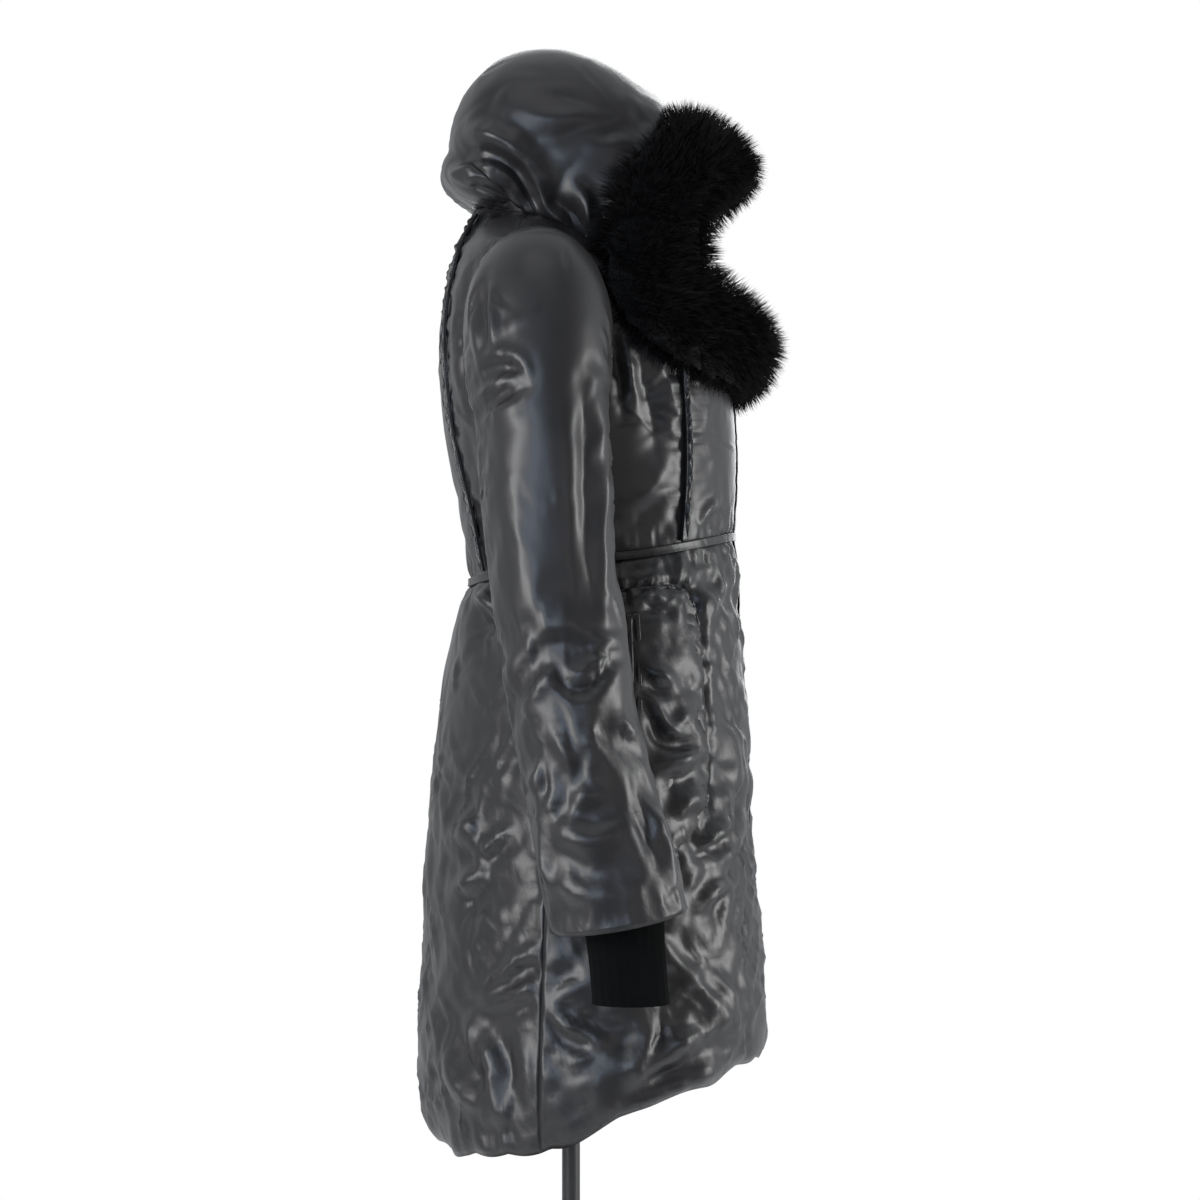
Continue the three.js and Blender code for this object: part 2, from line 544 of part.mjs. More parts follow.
function cuffRing(section, shrink) {
  const count = 2 * CUFF_RIBS;
  return Array.from({ length: count }, (_, j) => {
    const angle = (2 * Math.PI * j) / count;
    const rib = shrink === 0 && j % 2 === 0 ? section.rib : -section.rib;
    const grow = shrink === 0 ? rib : -shrink;
    return new THREE.Vector3(
      -section.out + (section.width + grow) * Math.cos(angle),
      section.y - (section.depth + grow) * Math.sin(angle),
      section.z,
    );
  });
}

// The cuff's top end follows the inner face of the sleeve, one section above the hem.
function cuffTop(inset) {
  const rim = sleeveInner[SLEEVE.length - 1];
  const middle = rim.reduce((sum, p) => sum.add(p), new THREE.Vector3()).divideScalar(rim.length);
  return Array.from({ length: 2 * CUFF_RIBS }, (_, j) => {
    const place = (j * rim.length) / (2 * CUFF_RIBS);
    const first = Math.floor(place);
    const point = rim[first].clone().lerp(rim[(first + 1) % rim.length], place - first);
    return point.add(middle.clone().sub(point).setLength(inset));
  });
}
const cuffOuter = [cuffTop(CUFF_SEAT), ...CUFF.map((section) => cuffRing(section, 0))];
const cuffInner = [cuffTop(CUFF_SEAT + WALL.cuff), ...CUFF.map((section) => cuffRing(section, WALL.cuff))];
addPair("cuff", cuffOuter, cuffInner, knit, true);

// Hood

// The neck seam as the bodice's panels make it: the outer and inner edge at any place round the neck.
const neckStops = [...Object.values(bodicePanels), backAcross].flatMap(({ outer, inner }) => {
  const last = bodiceRows.length - 1;
  return outer[last].map((point, c) => ({ outer: point, inner: inner[last][c], before: outer[last - 1][c] }));
});
const neckRounds = [
  ...spread(0, bodiceSeam.princessFront(3)),
  ...spread(bodiceSeam.princessFront(3), SIDE_SEAM.bodice),
  ...spread(SIDE_SEAM.bodice, bodiceSeam.princessBack(3)),
  ...spread(bodiceSeam.princessBack(3), 1),
];

function spread(from, to) {
  return Array.from({ length: PANEL_COLUMNS + 1 }, (_, k) => from + ((to - from) * k) / PANEL_COLUMNS);
}

function neckEdge(round) {
  let i = 0;
  while (i < neckRounds.length - 2 && round > neckRounds[i + 1]) i += 1;
  const t = Math.min(1, (round - neckRounds[i]) / (neckRounds[i + 1] - neckRounds[i] || 1));
  const outer = neckStops[i].outer.clone().lerp(neckStops[i + 1].outer, t);
  const inner = neckStops[i].inner.clone().lerp(neckStops[i + 1].inner, t);
  const before = neckStops[i].before.clone().lerp(neckStops[i + 1].before, t);
  const onwards = outer.clone().sub(before).setLength(SEAM_GAP + EXTRA_GAP.neck);
  return { outer: outer.add(onwards), inner: inner.add(onwards) };
}

// Rows of the right half of the hood: each is an arc from the side of the neck up to the middle, and the
// last one lies along the neck seam behind.
function hoodPlain() {
  const last = HOOD.length;
  const rows = HOOD.map((arc, i) => {
    const round = HOOD_BASE.open + ((HOOD_BASE.pivot - HOOD_BASE.open) * i) / last;
    const base = neckEdge(round).outer;
    return Array.from({ length: HOOD_COLUMNS + 1 }, (_, j) => {
      const rise = (j / HOOD_COLUMNS) * (Math.PI / 2);
      const up = Math.sin(rise);
      const out = -base.x * Math.cos(rise) + arc.wide * Math.sin(2 * rise);
      return new THREE.Vector3(-out, base.y + (arc.y - base.y) * up, base.z + (arc.z - base.z) * up);
    });
  });
  rows.push(
    Array.from({ length: HOOD_COLUMNS + 1 }, (_, j) => {
      const round = HOOD_BASE.pivot + ((1 - HOOD_BASE.pivot) * j) / HOOD_COLUMNS;
      return neckEdge(round).outer;
    }),
  );
  return rows;
}

// Normals of a grid of points that face away from a centre.
function gridNormals(rows, centre) {
  return rows.map((row, r) =>
    row.map((point, c) => {
      const along = row[Math.min(c + 1, row.length - 1)].clone().sub(row[Math.max(c - 1, 0)]);
      const across = rows[Math.min(r + 1, rows.length - 1)][c].clone().sub(rows[Math.max(r - 1, 0)][c]);
      const normal = along.cross(across).normalize();
      if (normal.dot(point.clone().sub(centre)) < 0) normal.negate();
      return normal;
    }),
  );
}

const hoodCentre = new THREE.Vector3(0, HOOD_CENTRE.y, HOOD_CENTRE.z);
const hoodRows = hoodPlain();
const hoodNormals = gridNormals(hoodRows, hoodCentre);

function hoodLayer(offset, folded) {
  const last = HOOD.length;
  return hoodRows.map((row, i) =>
    row.map((point, j) => {
      const rise = Math.sin((j / HOOD_COLUMNS) * (Math.PI / 2));
      const puff = folded && i < last ? HOOD[i].puff * Math.sqrt(rise) : 0;
      const normal = hoodNormals[i][j].clone();
      if (j === HOOD_COLUMNS) normal.setX(0).normalize();
      const placed = point.clone().addScaledVector(normal, offset + puff);
      if (j === HOOD_COLUMNS) placed.x = -SEAM_GAP / 2;
      return placed;
    }),
  );
}

// The edge that is sewn to the neck seam takes the seam's own inner points.
function hoodWall() {
  const outer = hoodLayer(0, true);
  const inner = hoodLayer(-WALL.hood, false);
  const last = HOOD.length;
  for (let i = 0; i < last; i += 1) {
    const round = HOOD_BASE.open + ((HOOD_BASE.pivot - HOOD_BASE.open) * i) / last;
    outer[i][0] = neckEdge(round).outer;
    inner[i][0] = neckEdge(round).inner;
  }
  for (let j = 0; j <= HOOD_COLUMNS; j += 1) {
    const round = HOOD_BASE.pivot + ((1 - HOOD_BASE.pivot) * j) / HOOD_COLUMNS;
    outer[last][j] = neckEdge(round).outer;
    inner[last][j] = neckEdge(round).inner;
    if (j === HOOD_COLUMNS) {
      outer[last][j].x = -SEAM_GAP / 2;
      inner[last][j].x = -SEAM_GAP / 2;
    }
  }
  return { outer, inner };
}
const hood = hoodWall();
addPair("hood", hood.outer, hood.inner, nylon);

// Booleans

const wasm = await Module();
wasm.setup();

function solidFrom(geometry) {
  const corners = geometry.toNonIndexed().attributes.position;
  const bare = mergeVertices(new THREE.BufferGeometry().setAttribute("position", corners), SAME_POINT);
  const mesh = new wasm.Mesh({
    numProp: 3,
    vertProperties: bare.attributes.position.array,
    triVerts: new Uint32Array(bare.index.array),
  });
  return new wasm.Manifold(mesh);
}

function geometryFrom(solid) {
  const mesh = solid.getMesh();
  const geometry = new THREE.BufferGeometry();
  const places = new Float32Array(mesh.numVert * 3);
  for (let i = 0; i < mesh.numVert; i += 1) {
    places.set(mesh.vertProperties.subarray(i * mesh.numProp, i * mesh.numProp + 3), i * 3);
  }
  geometry.setAttribute("position", new THREE.BufferAttribute(places, 3));
  geometry.setIndex(new THREE.BufferAttribute(mesh.triVerts, 1));
  return geometry;
}

// Fur trim

function furRings() {
  const squared = (value) => Math.sign(value) * Math.abs(value) ** (2 / FUR_POWER);
  const centres = new THREE.CatmullRomCurve3(FUR.map((f) => new THREE.Vector3(-f.out, f.y, f.z)));
  const stations = FUR.map((f, i) => ({ ...f, at: i }));
  const reach = (angle, at) => column(stations, Math.cos(angle) > 0 ? "back" : "fore", at);
  const rings = [];
  for (let k = 0; k <= FUR_STEPS.along; k += 1) {
    const share = k / FUR_STEPS.along;
    const at = share * (FUR.length - 1);
    const centre = centres.getPoint(share);
    const middle = k === 0 || k === FUR_STEPS.along;
    const tangent = middle ? new THREE.Vector3(k === 0 ? -1 : 1, 0, 0) : centres.getTangent(share);
    const turn = THREE.MathUtils.degToRad(column(stations, "turn", at));
    const flare = THREE.MathUtils.degToRad(column(stations, "flare", at));
    const broad = new THREE.Vector3(
      -Math.sin(flare),
      Math.cos(flare) * Math.cos(turn),
      Math.cos(flare) * Math.sin(turn),
    );
    const thick = new THREE.Vector3().crossVectors(tangent, broad).normalize();
    broad.crossVectors(thick, tangent).normalize();
    if (middle) centre.setX(-SEAM_GAP / 2);
    rings.push(
      Array.from({ length: FUR_STEPS.round }, (_, j) => {
        const angle = (2 * Math.PI * j) / FUR_STEPS.round;
        return centre
          .clone()
          .addScaledVector(broad, reach(angle, at) * squared(Math.cos(angle)))
          .addScaledVector(thick, column(stations, "loft", at) * squared(Math.sin(angle)));
      }),
    );
  }
  return rings;
}

// The whole torso and the whole hood as filled solids, a seam gap larger, to seat the fur on.
function torsoFilled(grow) {
  const rounds = TORSO_STOPS.slice(1).flatMap((stop, k) => spread(TORSO_STOPS[k], stop).slice(0, -1));
  const rings = bodiceRows.map((at) => {
    const right = [...rounds, 1].map((round) => {
      const { point, normal } = ringFrame(BODICE, round, at);
      return point.addScaledVector(normal, grow);
    });
    const left = right.slice(1, -1).reverse().map((p) => new THREE.Vector3(-p.x, p.y, p.z));
    return [...right, ...left];
  });
  return solidFrom(loftSolid(rings));
}

function hoodFilled(grow) {
  const layer = hoodLayer(grow, true);
  const right = layer.map((row) => row.map((p, j) => (j === HOOD_COLUMNS ? p.clone().setX(0) : p)));
  const rows = right.map((row) => [...row, ...mirrored([row])[0].slice(0, -1).reverse()]);
  const points = rows.flat();
  const across = rows[0].length;
  const faces = [];
  for (let r = 0; r < rows.length - 1; r += 1) {
    for (let c = 0; c < across - 1; c += 1) {
      faces.push([r * across + c, r * across + c + 1, (r + 1) * across + c + 1]);
      faces.push([r * across + c, (r + 1) * across + c + 1, (r + 1) * across + c]);
    }
  }
  const last = rows.length - 1;
  const rim = [
    ...rows[0].map((_, c) => c),
    ...rows.slice(1).map((_, r) => (r + 1) * across + across - 1),
    ...rows[last].slice(0, -1).map((_, c) => last * across + (across - 2 - c)),
    ...rows.slice(1, -1).map((_, r) => (last - 1 - r) * across),
  ];
  points.push(new THREE.Vector3(0, HOOD_FLOOR.y, HOOD_FLOOR.z));
  rim.forEach((a, k) => faces.push([rim[(k + 1) % rim.length], a, points.length - 1]));
  return solidFrom(geometryOf(points, faces));
}

// The top of a sleeve as a filled solid, grown by the same clearance.
function sleeveFilled(grow, sign) {
  const rings = SLEEVE.slice(0, FUR_SLEEVE_ROWS).map((section) => sleeveSection(section, -grow, true));
  const solid = solidFrom(loftSolid(rings));
  return sign < 0 ? solid : solid.mirror([1, 0, 0]);
}

// Trim

// A narrow strip that lies on a ringed surface: places are rows of [table, round, at, under], where under
// is how far the strip's lower face stands off the surface.
function trimSolid(places, over) {
  const layer = (top) =>
    places.map((row) =>
      row.map(([table, round, at, under]) => {
        const { point, normal } = ringFrame(table, round, at);
        return point.addScaledVector(normal, top ? over : under);
      }),
    );
  return wallSolid(layer(true), layer(false));
}

// How high the padding stands at a distance from a seam, when the panel's first column or row is this wide.
const paddingAt = (distance, width, seat) => seat - SEAM_DIP * (1 - Math.min(1, distance / width));

// Places for a strip along a lengthways seam of the bodice, seated in the dip that the panels make there.
function seamStrip(seam, before, after, rows, half = PIPING.half) {
  return rows.map((at) => {
    const centre = seam(at);
    const { perRound } = ringFrame(BODICE, centre, at);
    const shift = half / perRound;
    const narrow = Math.min(centre - before(at), after(at) - centre) / PANEL_COLUMNS;
    const under = paddingAt(PIPING.half, narrow * perRound, PIPING.seat);
    return [
      [BODICE, centre - shift, at, under],
      [BODICE, centre, at, PIPING.seat - SEAM_DIP],
      [BODICE, centre + shift, at, under],
    ];
  });
}

const pipingRows = (end) => [PIPING_SPAN.start, ...bodiceRows.filter((at) => at > 0 && at < end)];
const frontSeams = [bodiceSeam.princessFront, bodiceSeam.centreFront, bodiceSeam.sideFront];
const frontPiping = seamStrip(...frontSeams, pipingRows(PIPING_SPAN.frontEnd));
const backPiping = seamStrip(
  bodiceSeam.princessBack,
  bodiceSeam.sideBack,
  bodiceSeam.centreBack,
  pipingRows(PIPING_SPAN.backEnd),
);
addMirrored("piping_front", trimSolid(frontPiping, PIPING.over), piping);
addMirrored("piping_back", trimSolid(backPiping, PIPING.over), piping);

// The fur lies on the torso, the hood, the sleeves and the ends of the front strips.
const roomRows = seamStrip(...frontSeams, pipingRows(PIPING_SPAN.frontEnd + 0.1), PIPING.half + FUR_CLEAR);
const stripRoom = solidFrom(trimSolid(roomRows, PIPING.over + FUR_CLEAR));
const furBand = solidFrom(loftSolid(furRings()))
  .subtract(torsoFilled(FUR_CLEAR))
  .subtract(sleeveFilled(FUR_CLEAR, -1))
  .subtract(sleeveFilled(FUR_CLEAR, 1))
  .subtract(hoodFilled(FUR_CLEAR))
  .subtract(stripRoom)
  .subtract(stripRoom.mirror([1, 0, 0]))
  .subtract(solidFrom(loftSolid(formRings(FUR_CLEAR))));
const furHalf = furBand.decompose().sort((a, b) => b.volume() - a.volume())[0];
addMirrored("fur", geometryFrom(furHalf), fur);

// The waist piping runs from one edge of the fly round the back to the other.
const waistStart = roundAtWidth(BODICE, 0, FLY.half + SEAM_GAP);
const waistRight = [
  waistStart,
  ...PIPING_FRONT_SHARES.map((t) => t * bodiceSeam.princessFront(0)),
  ...spread(bodiceSeam.princessFront(0), SIDE_SEAM.bodice).slice(1),
  ...spread(SIDE_SEAM.bodice, bodiceSeam.princessBack(0)).slice(1),
  ...spread(bodiceSeam.princessBack(0), 1).slice(1),
].filter((round, k, all) => k === 0 || round > waistStart + 0.01);
const waistRounds = [...waistRight, ...waistRight.slice(0, -1).reverse().map((round) => 2 - round)];
const waistPlaces = waistRounds.map((round) => {
  const below = ringFrame(SKIRT, round, 0).perRow;
  const above = ringFrame(BODICE, round, 0).perRow;
  return [
    [SKIRT, round, PIPING.half / below, paddingAt(PIPING.half, below * skirtRows[1], PIPING.waistSeat)],
    [BODICE, round, 0, PIPING.seat - SEAM_DIP],
    [BODICE, round, PIPING.half / above, paddingAt(PIPING.half, above * bodiceRows[1], PIPING.waistSeat)],
  ];
});
addPiece("piping_waist", trimSolid(waistPlaces, PIPING.over), piping);

// The fly hides the closure, from the fur down to where the fronts part.
const flyPlace = (table, at) =>
  FLY.columns.map((share) => {
    const round = roundAtWidth(table, at, Math.abs(share) * FLY.half);
    return [table, share < 0 ? round : -round, at, FLY.under];
  });
const flyRows = [
  ...bodiceRows
    .filter((at) => at < FLY.startAt)
    .reverse()
    .map((at) => flyPlace(BODICE, at)),
  ...skirtRows.filter((at) => at > 0 && at < FLY.endAt).map((at) => flyPlace(SKIRT, at)),
  flyPlace(SKIRT, FLY.endAt),
];
addPiece("front_fly", trimSolid(flyRows, FLY.over), nylon);

// Pockets: a padded patch with a round front edge on each skirt front, and the welt of its slit.
function pocketPlace(w, t) {
  const reach = (1 - Math.abs(2 * w - 1) ** POCKET.square) ** (1 / POCKET.square);
  const at = POCKET.top + (POCKET.bottom - POCKET.top) * w;
  const front = POCKET.front + (POCKET.frontLow - POCKET.front) * w;
  return { at, round: POCKET.rear + (front - POCKET.rear) * reach * t };
}
function pocketLayer(offset, dip) {
  return POCKET_ROWS.map((w, r) =>
    POCKET_COLUMNS.map((t, c) => {
      const { at, round } = pocketPlace(w, t);
      const { point, normal } = ringFrame(SKIRT, round, at);
      const endRow = r === 0 || r === POCKET_ROWS.length - 1;
      const endColumn = c === 0 || c === POCKET_COLUMNS.length - 1;
      return point.addScaledVector(normal, offset - (endRow || endColumn ? dip : 0));
    }),
  );
}
const skirtGrown = skirtPanel(frontVent, skirtSide, 2 * PANEL_COLUMNS, skirtTrim, SEAM_GAP);
const pocketFace = pocketLayer(POCKET_WALL.over, POCKET_WALL.dip);
const pocketPatch = solidFrom(wallSolid(pocketFace, pocketLayer(POCKET_WALL.under, 0)));
const pocket = pocketPatch.subtract(solidFrom(wallSolid(skirtGrown.outer, skirtGrown.inner)));
addMirrored("pocket", geometryFrom(pocket), nylon);

function weltLayer(offset) {
  return POCKET_ROWS.slice(WELT.firstRow, WELT.lastRow + 1).map((w) => {
    const { at, round } = pocketPlace(w, WELT.column);
    const shift = WELT.half / ringFrame(SKIRT, round, at).perRound;
    return [-1, 0, 1].map((share) => {
      const { point, normal } = ringFrame(SKIRT, round + share * shift, at);
      return point.addScaledVector(normal, POCKET_WALL.over + offset);
    });
  });
}
addPair("pocket_welt", weltLayer(WELT.over), weltLayer(WELT.under), piping);

// Dress form

function formRing(table, at, inset) {
  const rounds = neckRounds.filter((round, k, all) => k === 0 || round > all[k - 1] + SAME_POINT);
  const right = rounds.map((round) => {
    const row = Math.min(3, Math.max(0, at));
    const seams = [bodiceSeam.princessFront(row), bodiceSeam.princessBack(row)];
    const shifted = table === BODICE ? alignRound(round, seams) : round;
    const { point, normal } = ringFrame(table, shifted, at);
    point.addScaledVector(normal, -inset);
    if (round === 0 || round === 1) point.x = 0;
    return point;
  });
  const left = right.slice(1, -1).reverse().map((p) => new THREE.Vector3(-p.x, p.y, p.z));
  return [...right, ...left];
}

// Moves a place round the neck seam to the like place between the seams of another row.
function alignRound(round, [front, back]) {
  const neck = [0, bodiceSeam.princessFront(3), SIDE_SEAM.bodice, bodiceSeam.princessBack(3), 1];
  const here = [0, front, SIDE_SEAM.bodice, back, 1];
  let i = 0;
  while (i < 3 && round > neck[i + 1]) i += 1;
  return here[i] + ((here[i + 1] - here[i]) * (round - neck[i])) / (neck[i + 1] - neck[i]);
}

function formRings(grow) {
  return [
    ...FORM_HIPS.map((row) => formRing(FORM_HIPS, row.at, -grow)),
    ...FORM_ROWS.map((at) => formRing(BODICE, at, WALL.bodice + column(FORM_EASE, "ease", at) - grow)),
    ...FORM_NECK.map((row) => formRing(FORM_NECK, row.at, -grow)),
  ];
}
addPiece("form_torso", loftSolid(formRings(0)), jersey);

// Stand

function turned(name, profile, material) {
  const geometry = new THREE.LatheGeometry(profile.map(([r, z]) => new THREE.Vector2(r, z)), POLE.sides);
  geometry.rotateX(Math.PI / 2);
  addPiece(name, geometry, material);
}
const formBottom = FORM_HIPS[0].zSide;
const collarBottom = formBottom - SEAM_GAP - COLLAR.height;
const collarTop = formBottom - SEAM_GAP;
turned("form_collar", [
  [COLLAR.bore, collarBottom],
  [COLLAR.radius, collarBottom],
  [COLLAR.radius, collarTop],
  [COLLAR.bore, collarTop],
  [COLLAR.bore, collarBottom],
], steel);
turned("stand_pole", [
  [0, BASE.socketFloor + SEAM_GAP],
  [POLE.radius, BASE.socketFloor + SEAM_GAP],
  [POLE.radius, collarTop],
  [0, collarTop],
], steel);
turned("stand_base", [
  [0, 0],
  [BASE.radius - BASE.edge, 0],
  [BASE.radius, BASE.edge],
  [BASE.radius - BASE.edge, BASE.thickness],
  [BASE.hub, BASE.thickness + BASE.edge],
  [BASE.hub - BASE.edge, BASE.hubTop],
  [BASE.bore, BASE.hubTop],
  [BASE.bore, BASE.socketFloor],
  [0, BASE.socketFloor],
], steel);

export default coat;
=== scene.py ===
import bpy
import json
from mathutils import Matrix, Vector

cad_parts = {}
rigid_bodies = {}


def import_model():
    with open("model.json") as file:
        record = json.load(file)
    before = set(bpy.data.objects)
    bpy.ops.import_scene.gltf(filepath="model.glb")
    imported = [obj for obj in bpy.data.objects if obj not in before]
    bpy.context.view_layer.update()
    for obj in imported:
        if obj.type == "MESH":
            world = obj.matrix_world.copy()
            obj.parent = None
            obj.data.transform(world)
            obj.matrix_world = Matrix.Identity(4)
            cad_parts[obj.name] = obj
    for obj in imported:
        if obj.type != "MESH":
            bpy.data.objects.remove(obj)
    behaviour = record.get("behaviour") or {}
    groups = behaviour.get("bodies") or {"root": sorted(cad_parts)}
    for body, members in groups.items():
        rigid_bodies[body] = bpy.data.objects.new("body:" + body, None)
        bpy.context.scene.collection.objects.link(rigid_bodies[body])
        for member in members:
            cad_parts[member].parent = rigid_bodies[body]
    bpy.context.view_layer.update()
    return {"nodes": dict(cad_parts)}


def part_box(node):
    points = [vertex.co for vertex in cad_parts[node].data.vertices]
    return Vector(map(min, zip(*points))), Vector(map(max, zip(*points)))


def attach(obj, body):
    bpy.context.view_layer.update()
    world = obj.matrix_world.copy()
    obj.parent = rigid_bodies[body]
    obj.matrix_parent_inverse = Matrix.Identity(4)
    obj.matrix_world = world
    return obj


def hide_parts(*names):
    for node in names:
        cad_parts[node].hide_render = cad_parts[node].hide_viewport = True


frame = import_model()

import json
import math
import random

import bpy
import numpy as np
from mathutils import Vector, noise
from mathutils.bvhtree import BVHTree
from mathutils.kdtree import KDTree

MM = 0.001

# Camera, floor and light.
# The coat is seen square on from its right side, from the height of its middle and about three metres away.
# It stands in a white studio with soft boxes before and behind, and the room behind the camera is dim.
VIEW_DISTANCE = 2.9
VIEW_HEIGHT = 1.005
VIEW_ALONG = -0.029
FRAME_WIDTH = 1.2
SENSOR = 36.0
FLOOR_RADIUS = 1.1
FLOOR_DROP = 0.4 * MM  # keeps the paper clear of the underside of the stand
PAPER = {"colour": "#f2f2f2", "roughness": 0.8}
COAT_MIDDLE = Vector((0, -0.03, 1.0))
# Soft boxes, in metres and watts. Each looks at the middle of the coat, and is white unless it has a tint.
SOFT_BOXES = [
    {"name": "box_back_left", "at": (-1.9, 1.9, 1.25), "wide": 0.8, "high": 2.1, "power": 54},
    {"name": "box_front_right", "at": (-0.5, -2.75, 0.95), "wide": 0.7, "high": 1.8, "power": 48},
    {"name": "window_behind", "at": (-3.1, 0.75, 1.5), "wide": 0.45, "high": 1.9, "power": 24},
    {"name": "box_low_right", "at": (-2.8, -1.1, 1.1), "wide": 0.4, "high": 1.4, "power": 3},
    {"name": "box_over", "at": (-1.1, 0.1, 3.3), "wide": 1.6, "high": 1.2, "power": 5},
    {"name": "box_far_side", "at": (2.2, -0.4, 1.8), "wide": 1.6, "high": 1.9, "power": 40},
]
TINTS = {"window_behind": "#cfe2ff", "box_low_right": "#fff4ec"}
# The light of the white room rises from its dim end behind the camera to its bright end behind the coat.
ROOM = {"colour": "#f4f7fb", "dim_at": -0.75, "bright_at": 0.45, "dim": 0.09, "bright": 0.72}

bpy.ops.object.camera_add(
    location=(-VIEW_DISTANCE, VIEW_ALONG, VIEW_HEIGHT),
    rotation=(math.radians(90), 0, math.radians(-90)),
)
camera = bpy.context.object
camera.data.sensor_width = SENSOR
camera.data.lens = SENSOR * VIEW_DISTANCE / FRAME_WIDTH
bpy.context.scene.camera = camera
bpy.context.scene.view_settings.view_transform = "Standard"


def deselect():
    """Leaves edit mode, with nothing selected."""
    if bpy.context.mode != "OBJECT":
        bpy.ops.object.mode_set(mode="OBJECT")
    bpy.ops.object.select_all(action="DESELECT")


def linear(code):
    """An sRGB hex colour as linear red, green, blue and alpha."""
    parts = [int(code[i : i + 2], 16) / 255 for i in (1, 3, 5)]
    return [c / 12.92 if c <= 0.04045 else ((c + 0.055) / 1.055) ** 2.4 for c in parts] + [1.0]


def add(tree, kind, links=(), **settings):
    """Adds a node: links are (input, socket) pairs, and a setting is an input's value or a property."""
    node = tree.nodes.new(kind)
    for name, value in settings.items():
        if hasattr(node, name):
            setattr(node, name, value)
        else:
            node.inputs[name.replace("_", " ")].default_value = value
    for name, socket in links:
        tree.links.new(socket, node.inputs[name])
    return node


def new_material(name):
    """A node material, its nodes and its shader."""
    material = bpy.data.materials.new(name)
    material.use_nodes = True
    return material, material.node_tree, material.node_tree.nodes["Principled BSDF"]


deselect()
bpy.ops.mesh.primitive_circle_add(
    vertices=96, radius=FLOOR_RADIUS, fill_type="NGON", location=(0, 0, -FLOOR_DROP)
)
floor = bpy.context.object
floor.name = "studio_floor"
paper, tree, shader = new_material("white_paper_floor")
shader.inputs["Base Color"].default_value = linear(PAPER["colour"])
shader.inputs["Roughness"].default_value = PAPER["roughness"]
floor.data.materials.append(paper)

for box in SOFT_BOXES:
    bpy.ops.object.light_add(type="AREA", location=box["at"])
    lamp = bpy.context.object
    lamp.name = box["name"]
    lamp.data.shape = "RECTANGLE"
    lamp.data.size = box["wide"]
    lamp.data.size_y = box["high"]
    lamp.data.energy = box["power"]
    lamp.data.color = linear(TINTS.get(box["name"], "#ffffff"))[:3]
    lamp.rotation_euler = (COAT_MIDDLE - Vector(box["at"])).to_track_quat("-Z", "Y").to_euler()

studio = bpy.data.worlds.new("white_studio")
bpy.context.scene.world = studio
studio.use_nodes = True
tree = studio.node_tree
tree.nodes.clear()
direction = add(tree, "ShaderNodeTexCoord")
split = add(tree, "ShaderNodeSeparateXYZ", [("Vector", direction.outputs["Generated"])])
across = add(
    tree,
    "ShaderNodeMapRange",
    [("Value", split.outputs["X"])],
    interpolation_type="SMOOTHSTEP",
    From_Min=ROOM["dim_at"],
    From_Max=ROOM["bright_at"],
    To_Min=ROOM["dim"],
    To_Max=ROOM["bright"],
)
links = [("Strength", across.outputs["Result"])]
room = add(tree, "ShaderNodeBackground", links, Color=linear(ROOM["colour"]))
sweep = add(tree, "ShaderNodeBackground", Color=(1, 1, 1, 1))
seen = add(tree, "ShaderNodeLightPath")
either = add(tree, "ShaderNodeMixShader")
tree.links.new(seen.outputs["Is Camera Ray"], either.inputs[0])
tree.links.new(room.outputs[0], either.inputs[1])
tree.links.new(sweep.outputs[0], either.inputs[2])
add(tree, "ShaderNodeOutputWorld", [("Surface", either.outputs[0])])

# The dress form and its stand.
# The form is a padded torso without head or limbs, covered with black cotton jersey, on a steel pole
# and a heavy round base that are painted dark grey. It carries the coat by its shoulders and neck.
PAINT = "#2b2b2c"
POLE_RADIUS = 9 * MM
COLLAR = {"radius": 26 * MM, "groove": 4 * MM, "deep": 2 * MM}  # its clamp closes in the groove
BASE = {"radius": 190 * MM, "plate": 8 * MM, "edge": 4 * MM, "foot": 6 * MM, "hub": 24 * MM}
HUB = {"flare": 5 * MM, "play": 0.6 * MM}  # from its foot to its top, and round the pole
JERSEY = {"dark": "#151516", "light": "#212122", "wale": 1.1 * MM, "nap": 3.846 * MM}
POWDER = {"peel": 1.4 * MM, "wear": 33.33 * MM}


def pick(piece):
    """Makes a piece the only one that is selected."""
    deselect()
    piece.select_set(True)
    bpy.context.view_layer.objects.active = piece


def from_node(node, name, crease_angle=55):
    """A copy of a solid's mesh as a piece of quads, with its sharp edges kept by creases."""
    source = frame["nodes"][node]
    piece = bpy.data.objects.new(name, source.data.copy())
    bpy.context.collection.objects.link(piece)
    piece.data.materials.clear()
    pick(piece)
    bpy.ops.object.mode_set(mode="EDIT")
    bpy.ops.mesh.select_mode(type="EDGE")
    bpy.ops.mesh.select_all(action="SELECT")
    bpy.ops.mesh.customdata_custom_splitnormals_clear()
    bpy.ops.mesh.remove_doubles(threshold=0.02 * MM)
    bpy.ops.mesh.tris_convert_to_quads(face_threshold=math.radians(35), shape_threshold=math.radians(60))
    bpy.ops.mesh.select_all(action="DESELECT")
    bpy.ops.mesh.edges_select_sharp(sharpness=math.radians(crease_angle))
    bpy.ops.transform.edge_crease(value=1)
    bpy.ops.object.mode_set(mode="OBJECT")
    return piece


def subdivide(piece, levels):
    """Smooth subdivision, applied."""
    pick(piece)
    smooth = piece.modifiers.new("smooth", "SUBSURF")
    smooth.levels = levels
    smooth.render_levels = levels
    bpy.ops.object.modifier_apply(modifier=smooth.name)
    bpy.ops.object.shade_smooth()


